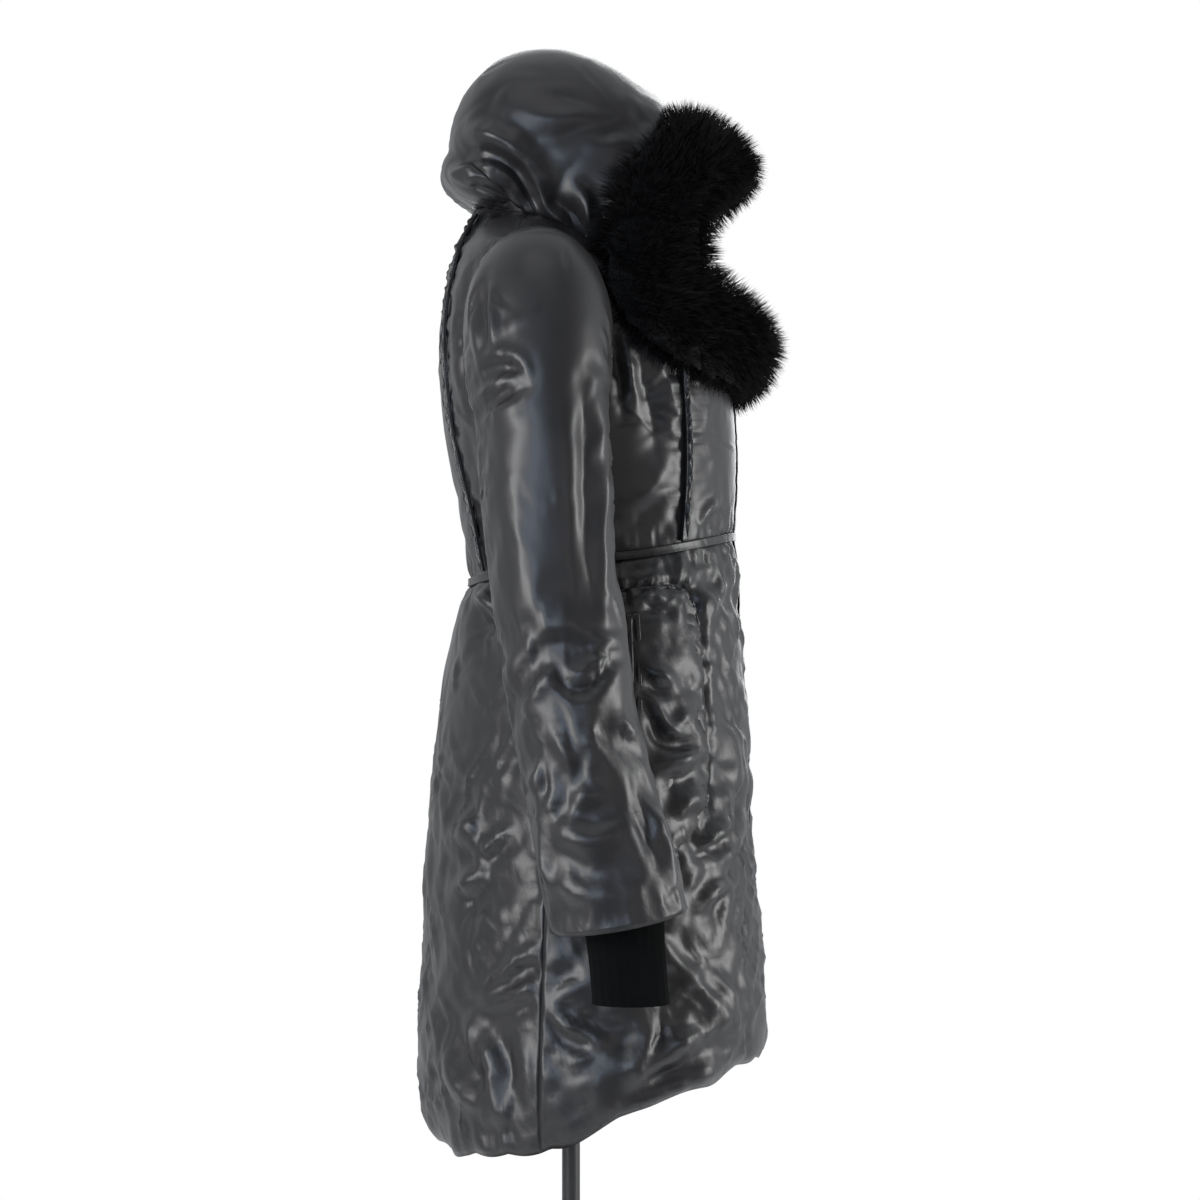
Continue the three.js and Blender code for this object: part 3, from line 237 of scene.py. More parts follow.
def select_faces(piece, wanted):
    """Opens a piece in edit mode, with only the wanted faces selected."""
    pick(piece)
    bpy.ops.object.mode_set(mode="EDIT")
    bpy.ops.mesh.select_mode(type="FACE")
    bpy.ops.mesh.select_all(action="DESELECT")
    bpy.ops.object.mode_set(mode="OBJECT")
    for face in piece.data.polygons:
        face.select = bool(wanted(face))
    bpy.ops.object.mode_set(mode="EDIT")


def turned_rims(piece, width, segments):
    """Rounds the rims of a turned piece and smooths its sides."""
    rims = piece.modifiers.new("rims", "BEVEL")
    rims.width = width
    rims.segments = segments
    rims.limit_method = "ANGLE"
    bpy.ops.object.modifier_apply(modifier=rims.name)
    bpy.ops.object.shade_smooth_by_angle(angle=math.radians(40))


def cylinder(name, vertices, radius, low, high):
    """An upright cylinder between two heights."""
    deselect()
    bpy.ops.mesh.primitive_cylinder_add(
        vertices=vertices, radius=radius, depth=high - low, location=(0, 0, (low + high) / 2)
    )
    piece = bpy.context.object
    piece.name = name
    bpy.ops.object.transform_apply(location=True, rotation=True, scale=True)
    return piece


def finish_piece(piece, material, slot, *nodes):
    """Gives a piece its material and its place in the frame."""
    piece.data.materials.clear()
    piece.data.materials.append(material)
    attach(piece, "root")
    if nodes:
        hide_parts(*nodes)


def jersey_material():
    # Cotton single jersey, knitted and dyed: matt, with fine upright wales and a faint nap.
    material, tree, shader = new_material("cotton_jersey_black")
    place = [("Vector", add(tree, "ShaderNodeTexCoord").outputs["Object"])]
    wales = add(
        tree,
        "ShaderNodeTexWave",
        place,
        wave_type="BANDS",
        bands_direction="DIAGONAL",
        Scale=0.1 / JERSEY["wale"],
        Distortion=1.5,
    )
    nap = add(tree, "ShaderNodeTexNoise", place, Scale=1 / JERSEY["nap"])
    tone = add(tree, "ShaderNodeMix", [("Factor", nap.outputs["Fac"])], data_type="RGBA")
    tone.inputs[6].default_value = linear(JERSEY["dark"])
    tone.inputs[7].default_value = linear(JERSEY["light"])
    bump = add(tree, "ShaderNodeBump", [("Height", wales.outputs["Fac"])], Strength=0.35, Distance=0.3 * MM)
    tree.links.new(tone.outputs[2], shader.inputs["Base Color"])
    tree.links.new(bump.outputs["Normal"], shader.inputs["Normal"])
    shader.inputs["Roughness"].default_value = 0.9
    shader.inputs["Sheen Weight"].default_value = 0.15
    return material


def painted_steel_material():
    # Mild steel, spun or drawn and powder coated: satin, with the faint orange peel of baked powder.
    material, tree, shader = new_material("powder_coated_steel")
    place = [("Vector", add(tree, "ShaderNodeTexCoord").outputs["Object"])]
    peel = add(tree, "ShaderNodeTexNoise", place, Scale=1 / POWDER["peel"])
    wear = add(tree, "ShaderNodeTexNoise", place, Scale=1 / POWDER["wear"])
    gloss = add(tree, "ShaderNodeMapRange", [("Value", wear.outputs["Fac"])], To_Min=0.34, To_Max=0.5)
    bump = add(tree, "ShaderNodeBump", [("Height", peel.outputs["Fac"])], Strength=0.12, Distance=0.1 * MM)
    shader.inputs["Base Color"].default_value = linear(PAINT)
    shader.inputs["IOR"].default_value = 1.5
    tree.links.new(gloss.outputs["Result"], shader.inputs["Roughness"])
    tree.links.new(bump.outputs["Normal"], shader.inputs["Normal"])
    return material


jersey = jersey_material()
painted_steel = painted_steel_material()
form = from_node("form_torso", "dress_form")
subdivide(form, 1)
finish_piece(form, jersey, "jersey", "form_torso")

pole_low, pole_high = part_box("stand_pole")
pole = cylinder("steel_pole", 64, POLE_RADIUS, pole_low.z, pole_high.z)
turned_rims(pole, 1.0 * MM, 3)
finish_piece(pole, painted_steel, "dark_steel", "stand_pole")

collar_low, collar_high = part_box("form_collar")
collar = cylinder("clamp_collar", 64, COLLAR["radius"], collar_low.z, collar_high.z)
turned_rims(collar, 2.0 * MM, 3)
middle = (collar_low.z + collar_high.z) / 2
bpy.ops.object.mode_set(mode="EDIT")
for height in (middle - COLLAR["groove"], middle + COLLAR["groove"]):
    bpy.ops.mesh.select_all(action="SELECT")
    bpy.ops.mesh.bisect(plane_co=(0, 0, height), plane_no=(0, 0, 1))
select_faces(collar, lambda f: abs(f.center.z - middle) < COLLAR["groove"] and abs(f.normal.z) < 0.5)
bpy.ops.mesh.extrude_region_shrink_fatten(TRANSFORM_OT_shrink_fatten={"value": -COLLAR["deep"]})
bpy.ops.object.mode_set(mode="OBJECT")
bpy.ops.object.shade_smooth_by_angle(angle=math.radians(40))
finish_piece(collar, painted_steel, "dark_steel", "form_collar")

# The top of the base is turned in steps, from its rim to the bore of its hub. Each goes in, and then up.
hub_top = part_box("stand_base")[1].z
base_steps = [
    {"in": BASE["edge"], "up": 2 * MM},
    {"in": BASE["radius"] - BASE["edge"] - BASE["hub"] - BASE["foot"], "up": 1.5 * MM},
    {"in": BASE["foot"], "up": 2.5 * MM},
    {"in": 3 * MM, "up": hub_top - 14.5 * MM},
    {"in": 2 * MM, "up": 0.5 * MM},
    {"in": BASE["hub"] - HUB["flare"] - POLE_RADIUS - HUB["play"], "up": 0},
    {"in": 0.3 * MM, "up": -6 * MM},
]
base = cylinder("round_base", 128, BASE["radius"], 0, BASE["plate"])
select_faces(base, lambda f: f.normal.z > 0.9)
for step in base_steps:
    bpy.ops.mesh.inset(thickness=step["in"], depth=step["up"])
bpy.ops.object.mode_set(mode="OBJECT")
turned_rims(base, 0.8 * MM, 2)
finish_piece(base, painted_steel, "dark_steel", "stand_base")

# The padded shell of the coat.
# Each panel is shiny charcoal nylon over down and feathers, sewn to its neighbours along every edge.
# The filling blows a panel up between its seams, and the slack of the thin cloth folds and puckers.
PANELS = {
    "bodice": ["front_R", "front_L", "side_front_R", "side_front_L", "side_back_R", "side_back_L", "back"],
    "skirt": ["front_R", "front_L", "back"],
    "sleeve": ["upper_R", "upper_L", "under_R", "under_L"],
    "hood": ["R", "L"],
    "pocket": ["R", "L"],
}
PART_OF = {part + "_" + panel: part for part, panels in PANELS.items() for panel in panels}
# Thickness of the wall in mm, pressure and share of the filling, and how much larger the nylon is cut
# than the wall it covers: in the middle of a panel and at its seams.
PADDING = {
    "bodice": {"wall": 9, "puff": 4.5, "fill": 0.55, "slack": 0.012, "seam_slack": 0.06},
    "skirt": {"wall": 10, "puff": 6, "fill": 0.5, "slack": 0.03, "seam_slack": 0.07},
    "sleeve": {"wall": 8, "puff": 5, "fill": 0.6, "slack": 0.012, "seam_slack": 0.06},
    "hood": {"wall": 9, "puff": 4, "fill": 0.5, "slack": 0.01, "seam_slack": 0.05},
    "pocket": {"wall": 6, "puff": 4, "fill": 0.6, "slack": 0.04, "seam_slack": 0.06},
}
SEAM_REACH = 32 * MM
SIMULATION_FRAMES = 20
SINK = 2.5 * MM  # the cloth starts this far inside its final face
CAP = 8 * MM  # the furthest that the filling may push a point
CLOTH = {
    "quality": 4,
    "mass": 0.15,
    "air_damping": 1,
    "tension_stiffness": 12,
    "compression_stiffness": 12,
    "shear_stiffness": 4,
    "bending_stiffness": 0.25,
    "use_pressure": True,
    "vertex_group_shrink": "slack",
    "vertex_group_mass": "held",
}


def side_name(node):
    """A node's name with its side in full."""
    return node.replace("_R", "_right").replace("_L", "_left")


def coordinates(piece):
    """A piece's points as an array."""
    points = np.empty(len(piece.data.vertices) * 3, np.float32)
    piece.data.vertices.foreach_get("co", points)
    return points.reshape(-1, 3).astype(float)


def normals(piece):
    """A piece's point normals as an array."""
    values = np.empty(len(piece.data.vertices) * 3, np.float32)
    piece.data.vertex_normals.foreach_get("vector", values)
    return values.reshape(-1, 3).astype(float)


def set_coordinates(piece, points):
    """Moves a piece's points to the given places."""
    piece.data.vertices.foreach_set("co", points.astype(np.float32).ravel())
    piece.data.update()


def outer_faces(piece):
    """The faces of the outer side, which is the largest region that sharp edges bound."""
    mesh = piece.data
    crease = mesh.attributes["crease_edge"].data
    sharp = {tuple(sorted(e.vertices)) for e in mesh.edges if crease[e.index].value > 0.5}
    owners = {}
    for face in mesh.polygons:
        for pair in face.edge_keys:
            owners.setdefault(tuple(sorted(pair)), []).append(face.index)
    region = list(range(len(mesh.polygons)))

    def root(i):
        while region[i] != i:
            region[i] = region[region[i]]
            i = region[i]
        return i

    for pair, faces in owners.items():
        if pair not in sharp:
            for other in faces[1:]:
                region[root(other)] = root(faces[0])
    areas = {}
    for face in mesh.polygons:
        areas[root(face.index)] = areas.get(root(face.index), 0) + face.area
    largest = max(areas, key=areas.get)
    return [f.index for f in mesh.polygons if root(f.index) == largest], owners


def rim_edges(piece):
    """The edges round a piece's outer side, and the faces inside them."""
    faces, owners = outer_faces(piece)
    inside = set(faces)
    return [pair for pair, near in owners.items() if 0 < sum(f in inside for f in near) < len(near)], inside


def mark_outer(piece):
    """Writes 1 on the points inside the outer face, and 0 on its seams and on the lining."""
    edges, inside = rim_edges(piece)
    rim = {v for pair in edges for v in pair}
    points = {v for f in inside for v in piece.data.polygons[f].vertices} - rim
    free = piece.data.attributes.new("free", "FLOAT", "POINT")
    for i in points:
        free.data[i].value = 1


def set_values(piece, name, values):
    """Writes a float attribute on a piece's points."""
    if name not in piece.data.attributes:
        piece.data.attributes.new(name, "FLOAT", "POINT")
    piece.data.attributes[name].data.foreach_set("value", np.asarray(values, np.float32))


def values_of(piece, name):
    """A float attribute of a piece's points as an array."""
    values = np.empty(len(piece.data.vertices), np.float32)
    piece.data.attributes[name].data.foreach_get("value", values)
    return values.astype(float)


def smooth_noise(points, size, seed):
    """Smooth noise of about plus or minus one at each point, with features of a given size."""
    shift = Vector((seed * 7.3 + 3, seed * 3.1 + 5, seed * 5.7 + 1))
    return np.array([noise.noise(Vector(p) / size + shift) for p in points])


def tree_of(places):
    """A tree that finds the nearest of some places, and its number."""
    tree = KDTree(len(places))
    for i, place in enumerate(places):
        tree.insert(Vector(place), i)
    tree.balance()
    return tree


def seam_distance(piece, points, free):
    """How far each point lies from the nearest seam of its panel, and where that seam point is."""
    ends = np.empty(len(piece.data.edges) * 2, np.int32)
    piece.data.edges.foreach_get("vertices", ends)
    ends = ends.reshape(-1, 2)
    low = np.minimum(free[ends[:, 0]], free[ends[:, 1]])
    high = np.maximum(free[ends[:, 0]], free[ends[:, 1]])
    crossing = ends[(low < 0.01) & (high > 0.01)]
    rim = tree_of(points[np.unique(crossing[free[crossing] < 0.01])])
    far = np.full(len(points), 1.0)
    nearest = points.copy()
    for i in np.nonzero(free > 0.01)[0]:
        place, _, gap = rim.find(Vector(points[i]))
        far[i] = gap
        nearest[i] = place
    return far, nearest


def relax(piece, repeat):
    """Evens out the outer face between the rows that it was cut in. Its seams stay where they are."""
    free = values_of(piece, "free")
    pick(piece)
    bpy.ops.object.mode_set(mode="EDIT")
    bpy.ops.mesh.select_mode(type="VERT")
    bpy.ops.mesh.select_all(action="DESELECT")
    bpy.ops.object.mode_set(mode="OBJECT")
    for vertex in piece.data.vertices:
        vertex.select = bool(free[vertex.index] > 0.5)
    bpy.ops.object.mode_set(mode="EDIT")
    bpy.ops.mesh.vertices_smooth(factor=0.5, repeat=repeat)
    bpy.ops.object.mode_set(mode="OBJECT")


shell = {}
for node, part in PART_OF.items():
    piece = from_node(node, side_name(node) + "_shell")
    mark_outer(piece)
    if part == "bodice":
        relax(piece, 3)
    subdivide(piece, 2)
    shell[node] = piece

rest = {}
for number, (node, piece) in enumerate(shell.items()):
    row = PADDING[PART_OF[node]]
    free = values_of(piece, "free")
    points = coordinates(piece)
    rest[node] = (points.copy(), normals(piece))
    far, _ = seam_distance(piece, points, free)
    uneven = 0.6 + 0.4 * smooth_noise(points, 45 * MM, number)
    points -= rest[node][1] * (np.clip(free * 2, 0, 1) * uneven * SINK)[:, None]
    set_coordinates(piece, points)
    held = piece.vertex_groups.new(name="held")
    held.add([int(i) for i in np.nonzero(free < 0.01)[0]], 1.0, "ADD")
    slack = piece.vertex_groups.new(name="slack")
    patches = np.clip(smooth_noise(points, 70 * MM, number + 40), -1, 1)
    share = np.clip(np.exp(-far / SEAM_REACH) + 0.35 * patches, 0, 1)
    for i, value in enumerate(share):
        slack.add([i], float(value), "REPLACE")
    cloth = piece.modifiers.new("cloth", "CLOTH")
    for name, value in CLOTH.items():
        setattr(cloth.settings, name, value)
    cloth.settings.uniform_pressure_force = row["puff"]
    cloth.settings.shrink_min = -row["slack"]
    cloth.settings.shrink_max = -row["seam_slack"]
    cloth.settings.effector_weights.gravity = 0
    cloth.collision_settings.use_collision = False
    cloth.point_cache.frame_end = SIMULATION_FRAMES + 2
for step in range(1, SIMULATION_FRAMES + 1):
    bpy.context.scene.frame_set(step)
for node, piece in shell.items():
    pick(piece)
    bpy.ops.object.modifier_apply(modifier="cloth")
    start, facing = rest[node]
    moved = coordinates(piece) - start
    far = np.linalg.norm(moved, axis=1) + 1e-9
    moved *= (CAP * np.tanh(far / CAP) / far)[:, None]
    set_values(piece, "lift", (moved * facing).sum(axis=1))
    set_coordinates(piece, start + moved)
bpy.context.scene.frame_set(1)

# The folds that the coat hangs in, read off its right side: how deep, how wide, and where, as (along, up),
# all in mm. A minus depth is a trough. The left side has the same folds, shifted a little.
FOLDS = {
    "hood": [
        {"deep": -12, "wide": 11, "path": [(113, 1434), (82, 1432), (59, 1421), (43, 1403), (30, 1377)]},
        {"deep": 8, "wide": 11, "path": [(84, 1456), (58, 1441), (36, 1414), (22, 1381)]},
        {
            "deep": 10, "wide": 9,
            "path": [(122, 1416), (101, 1420), (80, 1423), (60, 1414), (46, 1398), (31, 1376)],
        },
        {"deep": -9, "wide": 8, "path": [(101, 1402), (82, 1398), (62, 1390), (48, 1382)]},
        {
            "deep": 4, "wide": 4,
            "path": [(102, 1409), (89, 1413), (76, 1408), (65, 1400), (48, 1388), (29, 1375)],
        },
        {"deep": -6, "wide": 7, "path": [(21, 1398), (7, 1383), (-15, 1360), (-27, 1346)]},
        {"deep": 5, "wide": 6, "path": [(29, 1410), (23, 1388), (4, 1368), (-15, 1352)]},
        {"deep": 6, "wide": 6, "path": [(-3, 1406), (-16, 1388), (-21, 1367), (-23, 1352)]},
        {"deep": -5, "wide": 7, "path": [(-14, 1404), (-29, 1383), (-35, 1358)]},
        {"deep": -4, "wide": 10, "path": [(31, 1446), (4, 1450), (-19, 1459), (-67, 1468), (-102, 1469)]},
        {"deep": -4, "wide": 7, "path": [(-30, 1452), (-43, 1456), (-58, 1454)]},
        {"deep": 3, "wide": 12, "path": [(57, 1484), (24, 1467), (-19, 1473)]},
        {"deep": -3, "wide": 9, "path": [(21, 1492), (-10, 1486), (-48, 1477)]},
        {"deep": 4, "wide": 10, "path": [(96, 1465), (80, 1451), (61, 1436)]},
        {"deep": -3, "wide": 8, "path": [(67, 1503), (78, 1484), (84, 1461)]},
    ],
    "sleeve": [
        {"deep": 5, "wide": 4, "path": [(83, 1187), (69, 1196), (53, 1205), (35, 1209)]},
        {"deep": -7, "wide": 8, "path": [(81, 1206), (65, 1215), (51, 1214), (37, 1208)]},
        {"deep": 4, "wide": 5, "path": [(80, 1216), (69, 1224), (54, 1225), (42, 1219), (34, 1209)]},
        {"deep": -5, "wide": 8, "path": [(79, 1178), (61, 1187), (40, 1197)]},
        {"deep": 4, "wide": 8, "path": [(81, 1159), (65, 1171), (41, 1186)]},
        {"deep": 5, "wide": 6, "path": [(82, 1310), (87, 1281), (85, 1249), (81, 1225)]},
        {"deep": -3, "wide": 5, "path": [(76, 1305), (79, 1276), (76, 1235)]},
        {"deep": 4, "wide": 6, "path": [(68, 1285), (70, 1258), (67, 1229)]},
        {"deep": 5, "wide": 8, "path": [(-26, 1205), (-31, 1140), (-31, 1060), (-33, 990)]},
        {"deep": -3, "wide": 7, "path": [(-14, 1200), (-17, 1130), (-17, 1050)]},
        {"deep": 2, "wide": 14, "path": [(61, 1150), (51, 1113), (43, 1059), (40, 1005)]},
        {
            "deep": -13, "wide": 9,
            "path": [(47, 904), (41, 925), (29, 945), (16, 957), (0, 963), (-18, 965)],
        },
        {"deep": 6, "wide": 6, "path": [(45, 900), (35, 917), (22, 936), (10, 947)]},
        {"deep": -9, "wide": 6, "path": [(10, 945), (-1, 929), (-13, 925), (-29, 939), (-44, 958)]},
        {"deep": 5, "wide": 5, "path": [(2, 941), (-9, 935), (-20, 940), (-33, 951), (-43, 960)]},
        {"deep": 5, "wide": 5, "path": [(-14, 972), (-30, 968), (-52, 964)]},
        {"deep": -4, "wide": 4, "path": [(-15, 964), (-32, 961), (-51, 958)]},
        {"deep": -4, "wide": 3, "path": [(51, 898), (34, 897), (15, 899)]},
        {"deep": -3, "wide": 3, "path": [(19, 892), (-2, 890), (-29, 889)]},
        {"deep": 4, "wide": 6, "path": [(11, 883), (2, 868), (-3, 851), (4, 833), (13, 823)]},
        {"deep": -6, "wide": 9, "path": [(-6, 859), (2, 833), (14, 804)]},
        {"deep": 5, "wide": 5, "path": [(25, 860), (29, 846), (33, 827)]},
        {"deep": -7, "wide": 3.5, "path": [(36, 834), (33, 803), (31, 780), (27, 763), (25, 748)]},
        {"deep": -5, "wide": 3, "path": [(27, 770), (25, 748), (22, 730), (20, 712)]},
        {"deep": 3, "wide": 5, "path": [(25, 803), (22, 780), (17, 755), (12, 730)]},
        {"deep": -4, "wide": 6, "path": [(18, 851), (23, 833), (31, 822)]},
        {"deep": 5, "wide": 10, "path": [(11, 803), (-7, 794), (-29, 795), (-49, 803)]},
        {"deep": -4, "wide": 9, "path": [(-2, 813), (-22, 812), (-43, 819)]},
        {"deep": 4, "wide": 8, "path": [(2, 826), (-16, 832), (-34, 828)]},
        {"deep": 4, "wide": 7, "path": [(-36, 900), (-51, 893), (-65, 880)]},
        {"deep": -4, "wide": 6, "path": [(-33, 891), (-47, 882), (-60, 868)]},
        {"deep": 5, "wide": 7, "path": [(-71, 851), (-78, 824), (-90, 779), (-98, 752)]},
        {"deep": -4, "wide": 7, "path": [(-60, 842), (-69, 806), (-80, 770)]},
        {"deep": -4, "wide": 9, "path": [(7, 779), (-20, 763), (-47, 765)]},
        {"deep": 4, "wide": 9, "path": [(18, 763), (-4, 748), (-33, 741)]},
    ],
    "bodice": [
        {"deep": 5, "wide": 7, "path": [(-51, 1252), (-56, 1223), (-62, 1191)]},
        {"deep": -4, "wide": 7, "path": [(-42, 1250), (-48, 1212), (-52, 1174)]},
        {"deep": 4, "wide": 12, "path": [(-81, 1238), (-93, 1207), (-104, 1170)]},
        {"deep": -3, "wide": 10, "path": [(-67, 1231), (-78, 1184), (-82, 1137)]},
        {"deep": 3, "wide": 12, "path": [(-67, 1099), (-81, 1118), (-95, 1146)]},
        {"deep": -3, "wide": 10, "path": [(-57, 1071), (-76, 1090), (-93, 1103)]},
        {"deep": 4, "wide": 5, "path": [(-125, 1080), (-134, 1094), (-144, 1103)]},
        {"deep": -3, "wide": 4, "path": [(-131, 1071), (-142, 1086), (-151, 1093)]},
        {"deep": 2, "wide": 5, "path": [(100, 1323), (108, 1297), (112, 1259), (108, 1212), (101, 1184)]},
        {"deep": -4, "wide": 5, "path": [(91, 1327), (101, 1297), (105, 1254), (99, 1203), (93, 1174)]},
        {"deep": 3, "wide": 5, "path": [(108, 1165), (101, 1137), (93, 1109)]},
        {"deep": -3, "wide": 5, "path": [(97, 1156), (91, 1127), (87, 1099)]},
    ],
    "skirt": [
        {"deep": -6, "wide": 10, "path": [(98, 1001), (87, 983), (78, 968)]},
        {"deep": 5, "wide": 8, "path": [(93, 1012), (80, 1005), (72, 994)]},
        {"deep": 5, "wide": 6, "path": [(83, 764), (70, 777), (54, 790)]},
        {"deep": -4, "wide": 6, "path": [(76, 758), (63, 773), (48, 782)]},
        {"deep": 5, "wide": 12, "path": [(111, 775), (96, 786), (83, 802)]},
        {"deep": 5, "wide": 10, "path": [(104, 729), (91, 740), (78, 747)]},
        {"deep": -5, "wide": 10, "path": [(100, 712), (83, 725), (69, 738)]},
        {"deep": 4, "wide": 7, "path": [(29, 681), (46, 668), (65, 651), (91, 637)]},
        {"deep": -5, "wide": 7, "path": [(30, 668), (48, 655), (69, 639)]},
        {"deep": 4, "wide": 8, "path": [(31, 651), (52, 635), (81, 622)]},
        {"deep": -4, "wide": 8, "path": [(32, 637), (54, 622), (76, 609)]},
        {"deep": 4, "wide": 6, "path": [(91, 615), (94, 591), (91, 563)]},
        {"deep": 3, "wide": 10, "path": [(81, 605), (74, 572), (65, 519)]},
        {"deep": -3, "wide": 10, "path": [(66, 609), (59, 578), (50, 541)]},
        {"deep": 5, "wide": 12, "path": [(118, 581), (104, 554), (81, 528)]},
        {"deep": -4, "wide": 12, "path": [(113, 600), (98, 572), (76, 548)]},
        {"deep": 4, "wide": 6, "path": [(23, 633), (2, 613), (-20, 604), (-40, 591)]},
        {"deep": -4, "wide": 6, "path": [(23, 620), (2, 600), (-23, 589)]},
        {"deep": 3, "wide": 6, "path": [(23, 747), (8, 729), (-16, 716)]},
        {"deep": 5, "wide": 12, "path": [(-92, 681), (-116, 650), (-139, 624), (-156, 600)]},
        {"deep": -5, "wide": 12, "path": [(-101, 696), (-125, 667), (-151, 633)]},
        {"deep": 5, "wide": 9, "path": [(-116, 683), (-139, 650), (-165, 620)]},
        {"deep": -6, "wide": 11, "path": [(-84, 633), (-88, 609), (-75, 585)]},
        {"deep": 5, "wide": 9, "path": [(-55, 570), (-73, 594), (-90, 615)]},
        {"deep": 4, "wide": 8, "path": [(-68, 569), (-99, 596), (-139, 605)]},
        {"deep": -4, "wide": 8, "path": [(-57, 545), (-92, 563), (-136, 580)]},
        {"deep": 4, "wide": 9, "path": [(-66, 537), (-103, 550), (-149, 576)]},
        {"deep": 5, "wide": 6, "path": [(-123, 775), (-136, 782), (-147, 797)]},
        {"deep": -5, "wide": 6, "path": [(-119, 764), (-134, 769), (-147, 780)]},
        {"deep": 4, "wide": 7, "path": [(-125, 720), (-141, 732), (-160, 738)]},
        {"deep": 3, "wide": 8, "path": [(-149, 913), (-156, 876), (-160, 830)]},
        {"deep": -3, "wide": 8, "path": [(-139, 950), (-149, 913), (-151, 867)]},
        {"deep": 4, "wide": 6, "path": [(-136, 1014), (-127, 1001), (-121, 987)]},
        {"deep": 4, "wide": 6, "path": [(-152, 1027), (-141, 1007), (-132, 985)]},
    ],
    "pocket": [
        {"deep": 4, "wide": 7, "path": [(-75, 942), (-84, 935), (-99, 930)]},
        {"deep": -4, "wide": 6, "path": [(-71, 931), (-84, 924), (-99, 917)]},
        {"deep": 4, "wide": 6, "path": [(-95, 885), (-106, 893), (-116, 898)]},
        {"deep": 4, "wide": 6, "path": [(-77, 913), (-88, 891), (-99, 880), (-116, 882)]},
        {"deep": -4, "wide": 6, "path": [(-73, 898), (-86, 876), (-103, 869), (-125, 872)]},
        {"deep": 5, "wide": 8, "path": [(-84, 848), (-103, 854), (-121, 865)]},
        {"deep": -4, "wide": 8, "path": [(-84, 832), (-106, 837), (-125, 843)]},
        {"deep": 5, "wide": 9, "path": [(-97, 802), (-112, 815), (-127, 821)]},
        {"deep": 3, "wide": 6, "path": [(-62, 1007), (-77, 1009), (-92, 1003)]},
        {"deep": -3, "wide": 6, "path": [(-66, 994), (-84, 998), (-101, 988)]},
    ],
}
# Crinkles of the crisp nylon, scattered over each panel: how many, and their length, width and depth in mm.
CRINKLES = {
    "hood": {"count": 40, "long": (40, 120), "wide": (3.0, 8.0), "deep": (0.4, 1.2), "low": 0.2},
    "sleeve": {"count": 60, "long": (25, 80), "wide": (2.2, 5.0), "deep": (0.5, 1.7), "low": 0.85},
    "bodice": {"count": 16, "long": (40, 120), "wide": (2.5, 6.0), "deep": (0.3, 0.9), "low": 0.2},
    "skirt": {"count": 200, "long": (40, 150), "wide": (2.2, 6.5), "deep": (0.7, 2.4), "low": 0.8},
    "pocket": {"count": 30, "long": (25, 70), "wide": (2.2, 5.5), "deep": (0.8, 2.0), "low": 0.3},
}
# Crumple of the slack nylon: how high its small pillows stand and their size in mm, and the height in m
# where it fades out. The pillows lean, and are drawn out along that slant.
CRUMPLE = {
    "skirt": {"high": 4.2, "size": 72, "below": 0.89},
    "pocket": {"high": 3.2, "size": 60, "below": 1.1},
    "sleeve": {"high": 2.4, "size": 55, "below": 0.94},
}
CRUMPLE_LEAN = math.radians(42)
CRUMPLE_STRETCH = 2.6
# How the listed folds are scaled, the swells of the filling and the gathers along the seams in mm, and how
# much the cloth creases, away from a seam and beside one. A sleeve creases more below its elbow.
CREASING = {
    "hood": {"folds": 1.0, "swell": 0.8, "pucker": 1.5, "open": 0.1, "seam": 0.5},
    "sleeve": {"folds": 1.25, "swell": 0.8, "pucker": 3.4, "open": 0.06, "seam": 0.6},
    "bodice": {"folds": 1.1, "swell": 0.5, "pucker": 3.2, "open": 0.06, "seam": 0.6},
    "skirt": {"folds": 2.1, "swell": 1.6, "pucker": 5.5, "open": 0.5, "seam": 1.0},
    "pocket": {"folds": 1.5, "swell": 1.4, "pucker": 4.0, "open": 0.6, "seam": 1.0},
}
ELBOW = {"height": 0.96, "over": 0.08, "more": 0.45}
# Valleys that a sewn-on piece presses into the cloth beside it, and the gathers that run off it, all in mm.
POCKET_SEAM = {"deep": 7.0, "wide": 5.0, "pucker": 4.0, "reach": 14}
STRIP_SEAM = {"deep": 5.5, "wide": 3.5, "pucker": 3.2, "reach": 12}
# The hem hangs unevenly: how far it drops and sways, how long its waves are and how far up they reach, in
# mm. It is at the given height at the side of the coat, and rises towards the front.
HEM = {"drop": 9, "sway": 8, "wave": 60, "reach": 80, "height": 504, "side": -28, "rise_forwards": 0.26}
HEM_RADIUS = 220 * MM
WALL_LEFT = 2.5  # mm of the wall that a crease never cuts into
LINING_SHARE = 0.2  # of the lining's faces, which are smooth and need fewer
STRIPS = ["piping_front_R", "piping_front_L", "piping_back_R", "piping_back_L", "piping_waist"]


def smooth_path(path, count=16):
    """A smooth curve through the given (along, up) points, in metres."""
    points = np.array(path, float) * MM
    steps = np.concatenate([[0], np.cumsum(np.linalg.norm(np.diff(points, axis=0), axis=1))])
    slopes = np.gradient(points, steps, axis=0)
    curve = []
    for at in np.linspace(0, steps[-1], count):
        i = min(int(np.searchsorted(steps, at, side="right")) - 1, len(steps) - 2)
        span = steps[i + 1] - steps[i]
        t = (at - steps[i]) / span
        curve.append(
            (2 * t**3 - 3 * t**2 + 1) * points[i]
            + (t**3 - 2 * t**2 + t) * span * slopes[i]
            + (3 * t**2 - 2 * t**3) * points[i + 1]
            + (t**3 - t**2) * span * slopes[i + 1]
        )
    return np.array(curve)


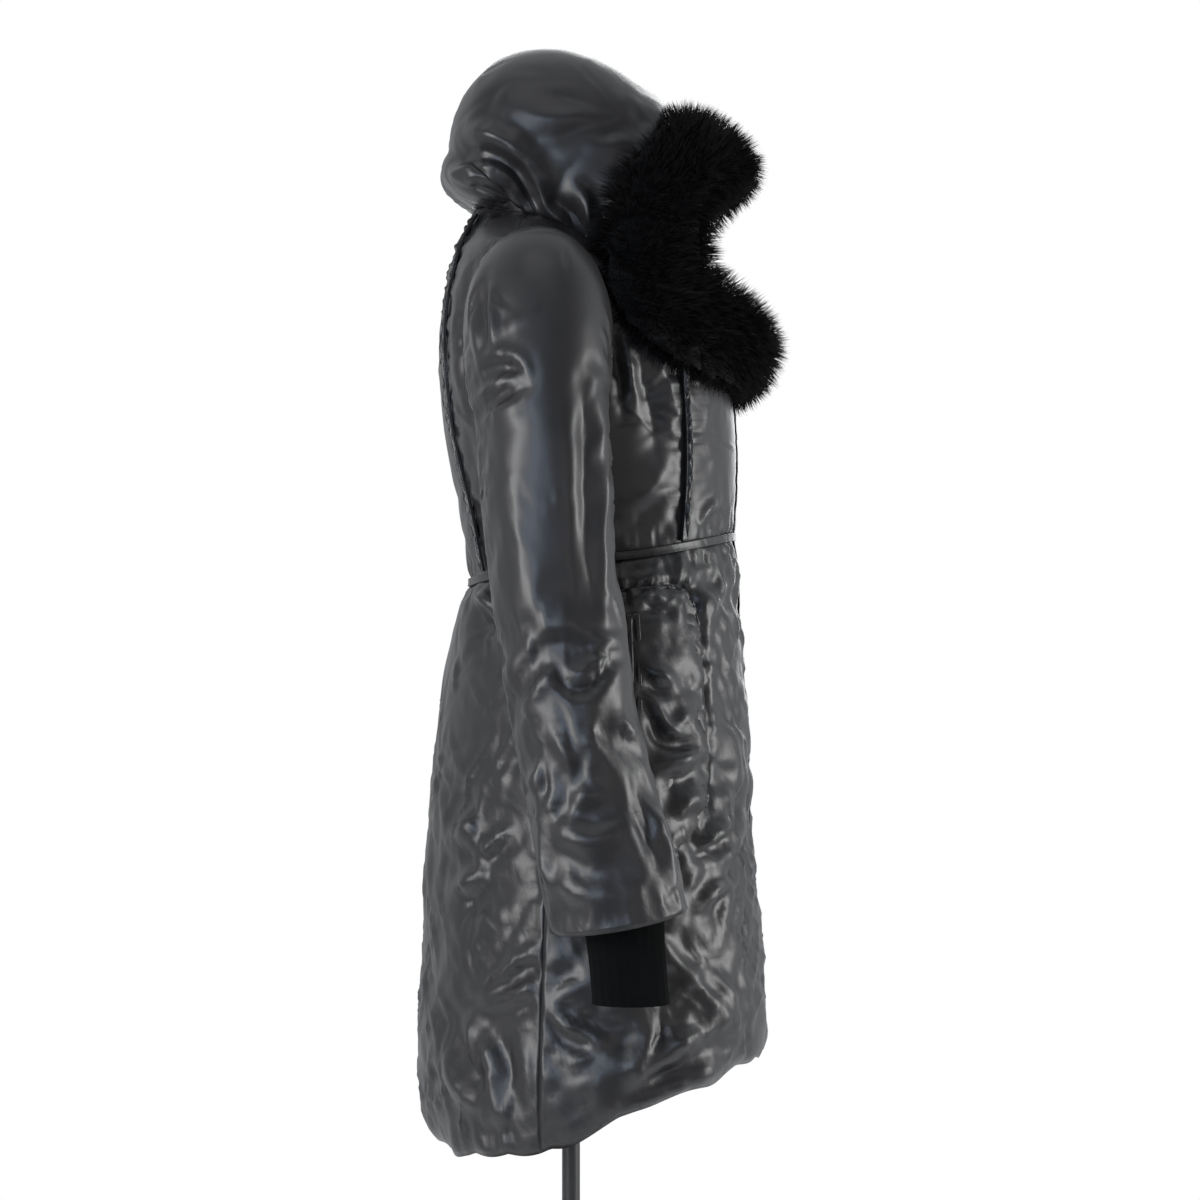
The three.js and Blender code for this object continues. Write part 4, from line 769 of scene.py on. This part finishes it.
def beside_path(flat, path):
    """How far each flat point lies from a path, and how far along the path, from 0 to 1."""
    gap = np.full(len(flat), 1e9)
    share = np.zeros(len(flat))
    for i in range(len(path) - 1):
        side = path[i + 1] - path[i]
        t = np.clip((flat - path[i]) @ side / (side @ side), 0, 1)
        here = np.linalg.norm(flat - path[i] - t[:, None] * side, axis=1)
        nearer = here < gap
        gap[nearer] = here[nearer]
        share[nearer] = ((i + t) / (len(path) - 1))[nearer]
    return gap, share


def fold_heights(points, facing, rows, seed):
    """The height that the listed folds give each point. Only points that face the side take part."""
    heights = np.zeros(len(points))
    outward = facing[:, 0] * np.sign(points[:, 0])
    turned = np.clip((outward - 0.15) / 0.4, 0, 1)
    left = points[:, 0] > 0
    sway = np.where(left, 12 * MM, 2 * MM)
    size = 110 * MM if left.mean() > 0.5 else 25 * MM
    flat = points[:, 1:].copy()
    flat[:, 0] += sway * smooth_noise(points, size, seed)
    flat[:, 1] += sway * smooth_noise(points, size, seed + 9)
    for row in rows:
        path = smooth_path(row["path"])
        wide = row["wide"] * MM
        low = path.min(axis=0) - 4 * wide
        high = path.max(axis=0) + 4 * wide
        near = np.all((flat > low) & (flat < high), axis=1) & (turned > 0)
        if not near.any():
            continue
        gap, share = beside_path(flat[near], path)
        taper = np.sin(np.pi * np.clip(share, 0.04, 0.96)) ** 0.6
        sharp = np.exp(-gap / (0.75 * wide))
        soft = np.exp(-((gap / wide) ** 2))
        flank = np.exp(-(((gap - 1.9 * wide) / wide) ** 2))
        heights[near] += row["deep"] * MM * taper * (0.55 * sharp + 0.45 * soft - 0.22 * flank)
    return heights * turned


def crinkle_heights(points, facing, free, row, seed):
    """The height of scattered crinkles: short ridges, steep on one side, with a groove beside them."""
    chance = random.Random(seed)
    heights = np.zeros(len(points))
    ids = np.nonzero(free > 0.5)[0]
    low, high = points[ids, 2].min(), points[ids, 2].max()
    placed = 0
    while placed < row["count"]:
        i = ids[chance.randrange(len(ids))]
        share = (high - points[i, 2]) / (high - low)
        if chance.random() > 1 - row["low"] * (1 - share):
            continue
        placed += 1
        normal = Vector(facing[i])
        up = Vector((0, 0, 1)) - normal * normal.z
        if up.length < 0.1:
            up = Vector((1, 0, 0)) - normal * normal.x
        up.normalize()
        across = normal.cross(up)
        lean = chance.choice((-1, 1)) * math.radians(chance.uniform(12, 68))
        along = np.array(up * math.cos(lean) + across * math.sin(lean))
        beside = np.array(across * math.cos(lean) - up * math.sin(lean))
        half = chance.uniform(*row["long"]) * MM / 2
        wide = chance.uniform(*row["wide"]) * MM
        deep = chance.uniform(*row["deep"]) * MM * chance.choice((1, 1, -1))
        bend = chance.uniform(-0.35, 0.35)
        steep = chance.uniform(0.35, 1)
        offset = points - points[i]
        near = np.einsum("ij,ij->i", offset, offset) < (1.2 * half) ** 2
        offset = offset[near]
        u = offset @ along
        v = offset @ beside + bend * u * u / half
        taper = np.clip(1 - (u / half) ** 2, 0, 1) * (facing[near] @ np.array(normal) > 0.3)
        ridge = np.exp(-((np.abs(v) / np.where(v > 0, wide * steep, wide)) ** 1.4))
        groove = np.exp(-(((v + 2.2 * wide) / wide) ** 2))
        heights[near] += deep * taper * (ridge - 0.4 * groove)
    return heights


def pucker_heights(points, far, nearest, amount, seed):
    """Gathers that run square off the seams and fade into the panel."""
    wave = smooth_noise(nearest, 10 * MM, seed)
    gather = 1.6 * np.sign(wave) * np.abs(wave) ** 0.75
    strength = np.clip(0.7 + smooth_noise(nearest, 60 * MM, seed + 3), 0.1, 1.6)
    reach = 16 * MM * (0.8 + 0.5 * smooth_noise(nearest, 25 * MM, seed + 5))
    rise = np.clip(far / (3 * MM), 0, 1)
    return amount * MM * rise * strength * gather * np.exp(-far / np.maximum(reach, 3 * MM))


def crumple_heights(points, row, lean, seed):
    """Pillows with creases between them, drawn out aslant. They fade away above a given height."""
    around = np.arctan2(points[:, 1], np.abs(points[:, 0])) * HEM_RADIUS
    sideways = np.hypot(points[:, 0], points[:, 1]) + np.where(points[:, 0] > 0, 1, 0)
    slant = np.stack(
        [
            around * math.cos(lean) + points[:, 2] * math.sin(lean),
            (points[:, 2] * math.cos(lean) - around * math.sin(lean)) * CRUMPLE_STRETCH,
            sideways,
        ],
        axis=1,
    )
    size = row["size"] * MM
    slant[:, 0] += 0.6 * size * smooth_noise(points, 90 * MM, seed + 5)
    slant[:, 1] += 0.9 * size * smooth_noise(points, 70 * MM, seed + 6)
    large = np.abs(smooth_noise(slant, size, seed))
    small = np.abs(smooth_noise(slant, size * 0.47, seed + 1))
    patches = np.clip(0.6 + 1.1 * smooth_noise(points, 150 * MM, seed + 2), 0.1, 1.3)
    fade = np.clip((row["below"] - points[:, 2]) / (60 * MM), 0, 1)
    return row["high"] * MM * (1.7 * large + 0.45 * small - 0.6) * patches * fade


def seam_heights(points, seam, row, seed):
    """The valley that a sewn-on piece presses into the cloth round it, and the gathers that run off it."""
    heights = np.zeros(len(points))
    for i, point in enumerate(points):
        place, _, gap = seam.find(Vector(point))
        if gap > 3 * row["reach"] * MM:
            continue
        wave = noise.noise(place / (9 * MM) + Vector((seed, 0, 0)))
        valley = math.exp(-((gap / (row["wide"] * MM)) ** 2))
        gather = math.exp(-gap / (row["reach"] * MM)) * wave * 2
        heights[i] = (row["pucker"] * gather - row["deep"] * valley) * MM
    return heights


def hem_waves(points):
    """How far the points near the hem move, the same on both faces of the wall."""
    around = np.arctan2(points[:, 1], points[:, 0])
    outward = np.stack([np.cos(around), np.sin(around), np.zeros(len(points))], axis=1)
    edge = HEM["height"] * MM - HEM["rise_forwards"] * (points[:, 1] - HEM["side"] * MM)
    share = np.clip(1 - (points[:, 2] - edge) / (HEM["reach"] * MM), 0, 1) ** 2
    ring = outward * HEM_RADIUS
    drop = 0.4 - 2 * np.abs(smooth_noise(ring, HEM["wave"] * MM, 71))
    sway = 2 * smooth_noise(ring, HEM["wave"] * MM, 72)
    waves = outward * (HEM["sway"] * MM * share * sway)[:, None]
    waves[:, 2] = HEM["drop"] * MM * share * drop
    return waves


def rim_tree(piece):
    """A tree of the points along the rim of a piece's outer face."""
    free = values_of(piece, "free")
    _, nearest = seam_distance(piece, coordinates(piece), free)
    return tree_of(np.unique(np.round(nearest[free > 0.01], 5), axis=0))


pocket_seams = [rim_tree(shell[node]) for node in ("pocket_R", "pocket_L")]
strip_seams = []
for node in STRIPS:
    piece = from_node(node, node + "_rim")
    mark_outer(piece)
    subdivide(piece, 2)
    strip_seams.append(rim_tree(piece))
    bpy.data.objects.remove(piece, do_unlink=True)

for number, (node, piece) in enumerate(shell.items()):
    subdivide(piece, 1)
    part = PART_OF[node]
    row = CREASING[part]
    points = coordinates(piece)
    facing = normals(piece)
    free = np.clip(values_of(piece, "free"), 0, 1)
    lift = values_of(piece, "lift")
    far, nearest = seam_distance(piece, points, free)
    heights = row["folds"] * fold_heights(points, facing, FOLDS[part], number)
    heights += crinkle_heights(points, facing, free, CRINKLES[part], 100 + number)
    heights += row["swell"] * MM * smooth_noise(points, 80 * MM, 300 + number) * 1.6
    if part in CRUMPLE:
        lean = -CRUMPLE_LEAN if "front" in node or part == "pocket" else CRUMPLE_LEAN
        heights += crumple_heights(points, CRUMPLE[part], lean, 400 + number)
    if part == "skirt":
        for seam in pocket_seams:
            heights += seam_heights(points, seam, POCKET_SEAM, 500 + number)
    if part in ("skirt", "bodice"):
        for seam in strip_seams:
            heights += seam_heights(points, seam, STRIP_SEAM, 600 + number)
    heights *= np.clip(far / (9 * MM), 0, 1)
    heights += pucker_heights(points, far, nearest, row["pucker"], 200 + number)
    heights *= np.clip(free * 2, 0, 1)
    creased = row["open"] + (row["seam"] - row["open"]) * np.exp(-far / (28 * MM))
    if part == "sleeve":
        creased += np.clip((ELBOW["height"] - points[:, 2]) / ELBOW["over"], 0, 1) * ELBOW["more"]
    set_values(piece, "crumple", creased)
    deepest = -(PADDING[part]["wall"] - WALL_LEFT) * MM
    heights = np.maximum(heights + lift, deepest) - lift
    moved = points + facing * heights[:, None]
    if part == "skirt":
        moved += hem_waves(points)
    set_coordinates(piece, moved)
    select_faces(piece, lambda f: max(free[i] for i in f.vertices) < 0.01)
    bpy.ops.mesh.select_less()
    bpy.ops.mesh.decimate(ratio=LINING_SHARE)
    bpy.ops.object.mode_set(mode="OBJECT")


def nylon_material(name, dark, light):
    # Calendered nylon taffeta, woven from fine yarn and pressed between hot rollers: dark grey, with a
    # satin shine. It crumples into sharp little creases wherever a seam or a bend leaves it slack.
    material, tree, shader = new_material(name)
    place = [("Vector", add(tree, "ShaderNodeTexCoord").outputs["Object"])]
    slack = add(tree, "ShaderNodeAttribute", attribute_name="crumple").outputs["Fac"]
    cloud = add(tree, "ShaderNodeTexNoise", place, Scale=1 / (71.43 * MM), Detail=3)
    tone = add(tree, "ShaderNodeMix", [("Factor", cloud.outputs["Fac"])], data_type="RGBA")
    tone.inputs[6].default_value = linear(dark)
    tone.inputs[7].default_value = linear(light)
    slant = (math.radians(-35), 0, 0)
    lean = add(
        tree, "ShaderNodeMapping", place, vector_type="TEXTURE", Rotation=slant, Scale=(1, 0.75, 1.5)
    )
    normal = None
    for size, high, kind in (
        (60, 6, "RIDGED_MULTIFRACTAL"),
        (26, 2.4, "RIDGED_MULTIFRACTAL"),
        (8, 0.5, "FBM"),
    ):
        waves = add(
            tree,
            "ShaderNodeTexNoise",
            [("Vector", lean.outputs["Vector"])],
            noise_type=kind,
            Scale=1 / (size * MM),
            Detail=2,
            Roughness=0.5,
            Distortion=0.4,
        )
        height = add(tree, "ShaderNodeMath", operation="MULTIPLY")
        tree.links.new(waves.outputs["Fac"], height.inputs[0])
        tree.links.new(slack, height.inputs[1])
        bump = add(tree, "ShaderNodeBump", [("Height", height.outputs[0])], Strength=1, Distance=high * MM)
        if normal:
            tree.links.new(normal, bump.inputs["Normal"])
        normal = bump.outputs["Normal"]
    gloss = add(tree, "ShaderNodeMapRange", [("Value", cloud.outputs["Fac"])], To_Min=0.38, To_Max=0.48)
    tree.links.new(tone.outputs[2], shader.inputs["Base Color"])
    tree.links.new(gloss.outputs["Result"], shader.inputs["Roughness"])
    tree.links.new(normal, shader.inputs["Normal"])
    shader.inputs["IOR"].default_value = 1.55
    shader.inputs["Coat Weight"].default_value = 0.15
    shader.inputs["Coat Roughness"].default_value = 0.3
    return material


nylon = nylon_material("calendered_nylon_charcoal", "#161617", "#212022")
# The strips' nylon is coloured darker than the panels' nylon: painted shade for the dark seam lines along
# them.
strip_nylon_painted_shade = nylon_material("calendered_nylon_strip", "#0c0c0d", "#141415")
for node, piece in shell.items():
    finish_piece(piece, nylon, "nylon", node)

# The strips over the seams.
# Each is a folded strip of the same nylon, laid over a princess seam or the waist seam and topstitched
# along both of its edges, which pulls it down at the stitches and lets its middle stand up. Its nylon is
# coloured darker than the panels' nylon: painted shade for the dark seam lines.
STRIP = {"crown": 2.0 * MM, "groove": 2.0 * MM, "gathers": 3.6 * MM, "inset": 1.5 * MM, "width": 0.010}
STITCH = {"pitch": 3.4 * MM, "long": 2.6 * MM, "thick": 0.26 * MM, "flat": 0.7, "proud": 0.3}
THREAD = {"dark": "#0c0c0d", "light": "#1d1d1f", "twist": 0.8 * MM}


def round_rims(piece, amount):
    """Takes some of the sharpness off a piece's creased edges before it is subdivided."""
    pick(piece)
    bpy.ops.object.mode_set(mode="EDIT")
    bpy.ops.mesh.select_all(action="SELECT")
    bpy.ops.transform.edge_crease(value=-amount)
    bpy.ops.object.mode_set(mode="OBJECT")


def chain_length(chain):
    """How long a chain of points is."""
    return sum((b - a).length for a, b in zip(chain, chain[1:]))


def long_edges(piece, corner=50):
    """The two long edges of a strip's outer face, each as a chain of points from corner to corner."""
    edges, _ = rim_edges(piece)
    links = {}
    for a, b in edges:
        links.setdefault(a, []).append(b)
        links.setdefault(b, []).append(a)
    unused = set(links)
    chains = []
    while unused:
        loop = [min(unused)]
        unused.discard(loop[0])
        step = [n for n in links[loop[0]] if n in unused]
        while step:
            loop.append(step[0])
            unused.discard(step[0])
            step = [n for n in links[loop[-1]] if n in unused]
        line = [piece.data.vertices[i].co.copy() for i in loop]
        ahead = line[1:] + line[:1]
        turns = [(line[i] - line[i - 1]).angle(ahead[i] - line[i], 0) for i in range(len(line))]
        corners = [i for i, turn in enumerate(turns) if turn > math.radians(corner)]
        if len(corners) < 2:
            chains.append(line + [line[0]])
            continue
        for start, end in zip(corners, corners[1:] + [corners[0] + len(line)]):
            chains.append([line[i % len(line)] for i in range(start, end + 1)])
    return sorted(chains, key=chain_length)[-2:]


def surface_tree(piece):
    """A tree that finds the nearest place on a piece's surface."""
    mesh = piece.data
    return BVHTree.FromPolygons([v.co for v in mesh.vertices], [f.vertices for f in mesh.polygons])


def stitches_along(chain, surface, inset, pitch):
    """Places for a row of stitches beside a chain of points: (middle, direction, normal) of each stitch."""
    steps = np.concatenate([[0], np.cumsum([(b - a).length for a, b in zip(chain, chain[1:])])])
    line = np.array(chain)
    places = []
    for at in np.arange(pitch, steps[-1] - pitch, pitch):
        point = Vector([np.interp(at, steps, line[:, k]) for k in range(3)])
        ahead = Vector([np.interp(at + pitch / 2, steps, line[:, k]) for k in range(3)])
        along = (ahead - point).normalized()
        _, normal, _, _ = surface.find_nearest(point)
        side = normal.cross(along).normalized()
        for sign in (1, -1):
            found = surface.find_nearest(point + side * sign * inset)
            if found[3] < 0.5 * inset:
                places.append((found[0], along, found[1]))
                break
    return places


def mesh_piece(name, points, faces):
    """A piece from points and faces, picked."""
    mesh = bpy.data.meshes.new(name)
    mesh.from_pydata(points, [], faces)
    piece = bpy.data.objects.new(name, mesh)
    bpy.context.collection.objects.link(piece)
    pick(piece)
    return piece


def sew(name, places, slot):
    """One mesh of many stitches. One stitch is modelled from an icosphere and copied to every place."""
    deselect()
    bpy.ops.mesh.primitive_ico_sphere_add(subdivisions=1, radius=1)
    model = bpy.context.object
    thick = STITCH["thick"]
    shape = coordinates(model) * (STITCH["long"] / 2, thick, STITCH["flat"] * thick)
    sides = [list(f.vertices) for f in model.data.polygons]
    bpy.data.objects.remove(model, do_unlink=True)
    points = []
    faces = []
    for middle, along, normal in places:
        across = normal.cross(along).normalized()
        out = along.cross(across).normalized()
        first = len(points)
        for x, y, z in shape:
            points.append(middle + along * x + across * y + out * (z + STITCH["proud"] * thick))
        faces.extend([first + i for i in side] for side in sides)
    piece = mesh_piece(name, points, faces)
    bpy.ops.object.shade_smooth()
    finish_piece(piece, thread, slot)


def thread_material():
    # Spun polyester sewing thread, dyed black, with the twist of its yarns.
    material, tree, shader = new_material("polyester_thread_black")
    place = add(tree, "ShaderNodeTexCoord").outputs["Object"]
    twist = add(tree, "ShaderNodeTexNoise", [("Vector", place)], Scale=1 / THREAD["twist"])
    tone = add(tree, "ShaderNodeMix", [("Factor", twist.outputs["Fac"])], data_type="RGBA")
    tone.inputs[6].default_value = linear(THREAD["dark"])
    tone.inputs[7].default_value = linear(THREAD["light"])
    tree.links.new(tone.outputs[2], shader.inputs["Base Color"])
    shader.inputs["Roughness"].default_value = 0.6
    return material


thread = thread_material()
strip_stitches = []
for node in STRIPS:
    piece = from_node(node, side_name(node.replace("piping", "strip")))
    chains = long_edges(piece)
    mark_outer(piece)
    round_rims(piece, 0.4)
    subdivide(piece, 3)
    set_values(piece, "crumple", np.full(len(piece.data.vertices), 0.8))
    points = coordinates(piece)
    free = np.clip(values_of(piece, "free"), 0, 1)
    far, nearest = seam_distance(piece, points, free)
    crown = STRIP["crown"] * (1 - np.exp(-far / (1.5 * MM)))
    groove = STRIP["groove"] * np.exp(-(((far - STRIP["inset"]) / (0.7 * MM)) ** 2))
    gathers = STRIP["gathers"] * smooth_noise(points, 5 * MM, 17) * np.clip(far / (3 * MM), 0, 1)
    heights = (crown - groove + gathers) * np.clip(free * 2, 0, 1)
    set_coordinates(piece, points + normals(piece) * heights[:, None])
    surface = surface_tree(piece)
    for chain in chains:
        strip_stitches += stitches_along(chain, surface, STRIP["inset"], STITCH["pitch"])
    finish_piece(piece, strip_nylon_painted_shade, "nylon_strip", node)
sew("strip_stitches", strip_stitches, "nylon_strip")

# The front fly.
# It is a flat placket of the same nylon over a thin filling. It covers the closure from the fur
# down to where the fronts part, and two rows of topstitching hold it.
FLY = {"flat": (0.04, 0.545), "inset": 5 * MM, "pucker": 0.8, "swell": 0.8 * MM, "groove": 0.8 * MM}
FLY_LIES = {"within": 9 * MM, "pressed": 0.5}  # it is pressed onto the panels that are this near
FLY_OVER = ["bodice_front_R", "bodice_front_L", "skirt_front_R", "skirt_front_L"]
piece = from_node("front_fly", "fly_placket")
chains = long_edges(piece)
mark_outer(piece)
round_rims(piece, 1)
subdivide(piece, 2)
set_values(piece, "crumple", np.full(len(piece.data.vertices), 0.5))
points = coordinates(piece)
panels = [surface_tree(shell[node]) for node in FLY_OVER]
for i, point in enumerate(points):
    below = min((panel.find_nearest(Vector(point)) for panel in panels), key=lambda found: found[3])
    if below[3] < FLY_LIES["within"]:
        points[i] += (np.array(below[0]) - point) * FLY_LIES["pressed"]
set_coordinates(piece, points)
free = np.clip(values_of(piece, "free"), 0, 1)
far, nearest = seam_distance(piece, points, free)
heights = pucker_heights(points, far, nearest, FLY["pucker"], 31)
heights += FLY["swell"] * smooth_noise(points, 30 * MM, 33)
heights -= FLY["groove"] * np.exp(-(((far - FLY["inset"]) / (1.2 * MM)) ** 2))
heights *= np.clip(far / (4 * MM), 0, 1) * np.clip(free * 2, 0, 1)
set_coordinates(piece, points + normals(piece) * heights[:, None])
surface = surface_tree(piece)
fly_stitches = []
for chain in chains:
    fly_stitches += stitches_along(chain, surface, FLY["inset"], STITCH["pitch"])
finish_piece(piece, nylon, "nylon_strip", "front_fly")
sew("fly_stitches", fly_stitches, "nylon_strip")

# The pocket slits.
# Each pocket is entered by a welted slit: two narrow lips of folded nylon with a dark gap between,
# stitched round, and closed at both ends by a short dense bar of stitches.
SLIT = {"lip": 0.5 * MM, "gap": 2.6 * MM, "gap_width": 1.3 * MM, "inset": 1.0 * MM, "pitch": 2.72 * MM}
BAR = {"rows": 7, "pitch": 0.6 * MM, "proud": 0.4 * MM}
for node, name in (("pocket_welt_R", "slit_right"), ("pocket_welt_L", "slit_left")):
    piece = from_node(node, name)
    chains = long_edges(piece)
    mark_outer(piece)
    subdivide(piece, 3)
    points = coordinates(piece)
    free = np.clip(values_of(piece, "free"), 0, 1)
    far, nearest = seam_distance(piece, points, free)
    middle = far[free > 0.5].max()
    gap = SLIT["gap"] * np.exp(-(((far - middle) / SLIT["gap_width"]) ** 2))
    heights = (SLIT["lip"] * np.clip(far / (1.5 * MM), 0, 1) - gap) * np.clip(free * 2, 0, 1)
    set_coordinates(piece, points + normals(piece) * heights[:, None])
    surface = surface_tree(piece)
    slit_stitches = []
    for chain in chains:
        slit_stitches += stitches_along(chain, surface, SLIT["inset"], SLIT["pitch"])
    for end, beside in ((0, 1), (-1, -2)):
        corner = chains[0][end]
        top = (corner + min(chains[1], key=lambda p: (p - corner).length)) / 2
        inward = (chains[0][beside] - corner).normalized()
        _, normal, _, _ = surface.find_nearest(top)
        across = normal.cross(inward).normalized()
        for k in range(BAR["rows"]):
            hit = surface.find_nearest(top + inward * (k + 1) * BAR["pitch"])
            slit_stitches.append((hit[0] + hit[1] * BAR["proud"], across, hit[1]))
    finish_piece(piece, nylon, "nylon_strip", node)
    sew(name + "_stitches", slit_stitches, "nylon_strip")

# The sleeve vents.
# The back seam of each sleeve is left open above the hem, and two rows of stitches hold its folded edge.
# The rows are given as (along, up) in mm, and each stitch is laid on the sleeve straight inwards.
VENT_ROWS = [
    [(24.3, 757), (20, 738), (14.4, 717)],
    [(20.5, 757), (16.5, 738), (11, 717)],
]
VENT_FROM = 0.5  # m out from the middle plane, well outside the sleeve
for node, name, side in (("sleeve_upper_R", "vent_right", -1), ("sleeve_upper_L", "vent_left", 1)):
    surface = surface_tree(shell[node])
    vent_stitches = []
    for row in VENT_ROWS:
        path = smooth_path(row)
        for start, end in zip(path, path[1:]):
            origin = Vector((side * VENT_FROM, *((start + end) / 2)))
            place, normal, _, _ = surface.ray_cast(origin, Vector((-side, 0, 0)))
            if place:
                along = Vector((0, end[0] - start[0], end[1] - start[1])).normalized()
                vent_stitches.append((place, along, normal))
    sew(name + "_stitches", vent_stitches, "nylon")

# The knit inner cuffs.
# Each is a tube of black rib knit, doubled at its lower edge and sewn into the sleeve above the hem.
# It draws in round the wrist, so its ribs stand close together.
CUFF_KNIT = {"ribs": 66, "rise": 0.55 * MM, "flat": (0.215, 0.135), "levels": 12, "slab": 12 * MM}
KNIT = {"dark": "#060707", "light": "#0e0f0f", "stitch": 1.6 * MM, "nap": 1.5 * MM}


def rib_knit_material():
    # Wool and acrylic rib knit, dyed black: matt, with small stitches up each rib.
    material, tree, shader = new_material("rib_knit_black")
    place = [("Vector", add(tree, "ShaderNodeTexCoord").outputs["Object"])]
    loops = add(
        tree,
        "ShaderNodeTexWave",
        place,
        wave_type="BANDS",
        bands_direction="Z",
        Scale=1 / (20 * KNIT["stitch"]),
        Distortion=1.2,
    )
    nap = add(tree, "ShaderNodeTexNoise", place, Scale=1 / KNIT["nap"])
    tone = add(tree, "ShaderNodeMix", [("Factor", nap.outputs["Fac"])], data_type="RGBA")
    tone.inputs[6].default_value = linear(KNIT["dark"])
    tone.inputs[7].default_value = linear(KNIT["light"])
    bump = add(tree, "ShaderNodeBump", [("Height", loops.outputs["Fac"])], Strength=0.3, Distance=0.3 * MM)
    tree.links.new(tone.outputs[2], shader.inputs["Base Color"])
    tree.links.new(bump.outputs["Normal"], shader.inputs["Normal"])
    shader.inputs["Roughness"].default_value = 1
    shader.inputs["Specular IOR Level"].default_value = 0.1
    return material


rib_knit = rib_knit_material()
for node, name in (("cuff_R", "cuff_right"), ("cuff_L", "cuff_left")):
    piece = from_node(node, name)
    mark_outer(piece)
    subdivide(piece, 2)
    points = coordinates(piece)
    free = np.clip(values_of(piece, "free"), 0, 1)
    levels = np.linspace(points[:, 2].min(), points[:, 2].max(), CUFF_KNIT["levels"])
    slabs = [points[np.abs(points[:, 2] - level) < CUFF_KNIT["slab"]] for level in levels]
    centres = np.array([(slab.min(axis=0) + slab.max(axis=0)) / 2 for slab in slabs])
    middle_x = np.interp(points[:, 2], levels, centres[:, 0])
    middle_y = np.interp(points[:, 2], levels, centres[:, 1])
    turn = np.arctan2(points[:, 1] - middle_y, points[:, 0] - middle_x)
    rise = CUFF_KNIT["rise"] * np.cos(CUFF_KNIT["ribs"] * turn) * free
    set_coordinates(piece, points + normals(piece) * rise[:, None])
    finish_piece(piece, rib_knit, "rib_knit", node)

# The fur trim round the face opening and down the neckline.
# It is thick black fox or raccoon fur on its skin: a soft body under some thousands of long hairs a side,
# which stand out from the band and lie downwards in small locks.
HAIRS = {"fur_R": 18000, "fur_L": 13000}
HAIR = {"root": 13 * MM, "long": (20 * MM, 29 * MM), "thick": 0.36 * MM, "bow": 1.2 * MM, "bow_at": 0.55}
LOCKS = {"count": 900, "together": (0.15, 0.55), "fall": 0.28, "swirl": 0.45, "swirl_size": 30 * MM}
BODY_DEPTH = 0.85 * HAIR["root"]  # how far the soft body lies inside the band
FUR_COLOURS = {"dark": "#020203", "light": "#070708", "patch": 16.667 * MM}


def fur_material():
    # Fox or raccoon fur, dyed black: hairs with a soft shine along them, darker at the root.
    material, tree, shader = new_material("dyed_fur_black")
    place = add(tree, "ShaderNodeTexCoord").outputs["Object"]
    patches = add(tree, "ShaderNodeTexNoise", [("Vector", place)], Scale=1 / FUR_COLOURS["patch"])
    tone = add(tree, "ShaderNodeMix", [("Factor", patches.outputs["Fac"])], data_type="RGBA")
    tone.inputs[6].default_value = linear(FUR_COLOURS["dark"])
    tone.inputs[7].default_value = linear(FUR_COLOURS["light"])
    tree.links.new(tone.outputs[2], shader.inputs["Base Color"])
    shader.inputs["Roughness"].default_value = 0.8
    shader.inputs["IOR"].default_value = 1.55
    shader.inputs["Specular IOR Level"].default_value = 0.2
    return material


def surface_samples(piece, count, chance):
    """Evenly scattered places on a piece's outer side, each with its normal."""
    mesh = piece.data
    mesh.calc_loop_triangles()
    inside = set(outer_faces(piece)[0])
    triangles = [t for t in mesh.loop_triangles if t.polygon_index in inside]
    totals = np.cumsum([t.area for t in triangles])
    places = []
    for _ in range(count):
        t = triangles[int(np.searchsorted(totals, chance.random() * totals[-1]))]
        a, b = chance.random(), chance.random()
        if a + b > 1:
            a, b = 1 - a, 1 - b
        corners = [mesh.vertices[i] for i in t.vertices]
        place = corners[0].co * (1 - a - b) + corners[1].co * a + corners[2].co * b
        normal = corners[0].normal * (1 - a - b) + corners[1].normal * a + corners[2].normal * b
        places.append((place, normal.normalized()))
    return places


fur = fur_material()
for node, name in (("fur_R", "fur_right"), ("fur_L", "fur_left")):
    chance = random.Random(7 if node == "fur_R" else 11)
    piece = from_node(node, name, crease_angle=70)
    subdivide(piece, 1)
    places = surface_samples(piece, HAIRS[node], chance)
    locks = surface_samples(piece, LOCKS["count"], chance)
    lock_tree = tree_of([place for place, _ in locks])
    set_coordinates(piece, coordinates(piece) - normals(piece) * BODY_DEPTH)
    points = []
    faces = []
    for place, normal in places:
        _, lock, _ = lock_tree.find(place)
        centre, centre_normal = locks[lock]
        swirl = noise.noise_vector(place / LOCKS["swirl_size"])
        fall = Vector((0, 0, -LOCKS["fall"])) + swirl * LOCKS["swirl"]
        heading = (normal + fall - normal * fall.dot(normal) * 0.6).normalized()
        root = place - normal * HAIR["root"]
        length = chance.uniform(*HAIR["long"])
        tip = root + heading * length
        lock_tip = centre - centre_normal * HAIR["root"] + heading * length
        tip = tip.lerp(lock_tip, chance.uniform(*LOCKS["together"]))
        side = heading.orthogonal().normalized()
        other = heading.cross(side)
        middle = root.lerp(tip, HAIR["bow_at"]) + normal * HAIR["bow"]
        first = len(points)
        for centre_point, thick in ((root, HAIR["thick"]), (middle, HAIR["thick"] * 0.8)):
            for k in range(3):
                turn = math.tau * k / 3
                points.append(centre_point + (side * math.cos(turn) + other * math.sin(turn)) * thick)
        points.append(tip)
        for k in range(3):
            n = (k + 1) % 3
            faces.append((first + k, first + n, first + 3 + n, first + 3 + k))
            faces.append((first + 3 + k, first + 3 + n, first + 6))
    mesh_piece(name + "_hairs", points, faces)
    piece.select_set(True)
    bpy.context.view_layer.objects.active = piece
    bpy.ops.object.join()
    bpy.ops.object.shade_smooth()
    finish_piece(piece, fur, "fur", node)
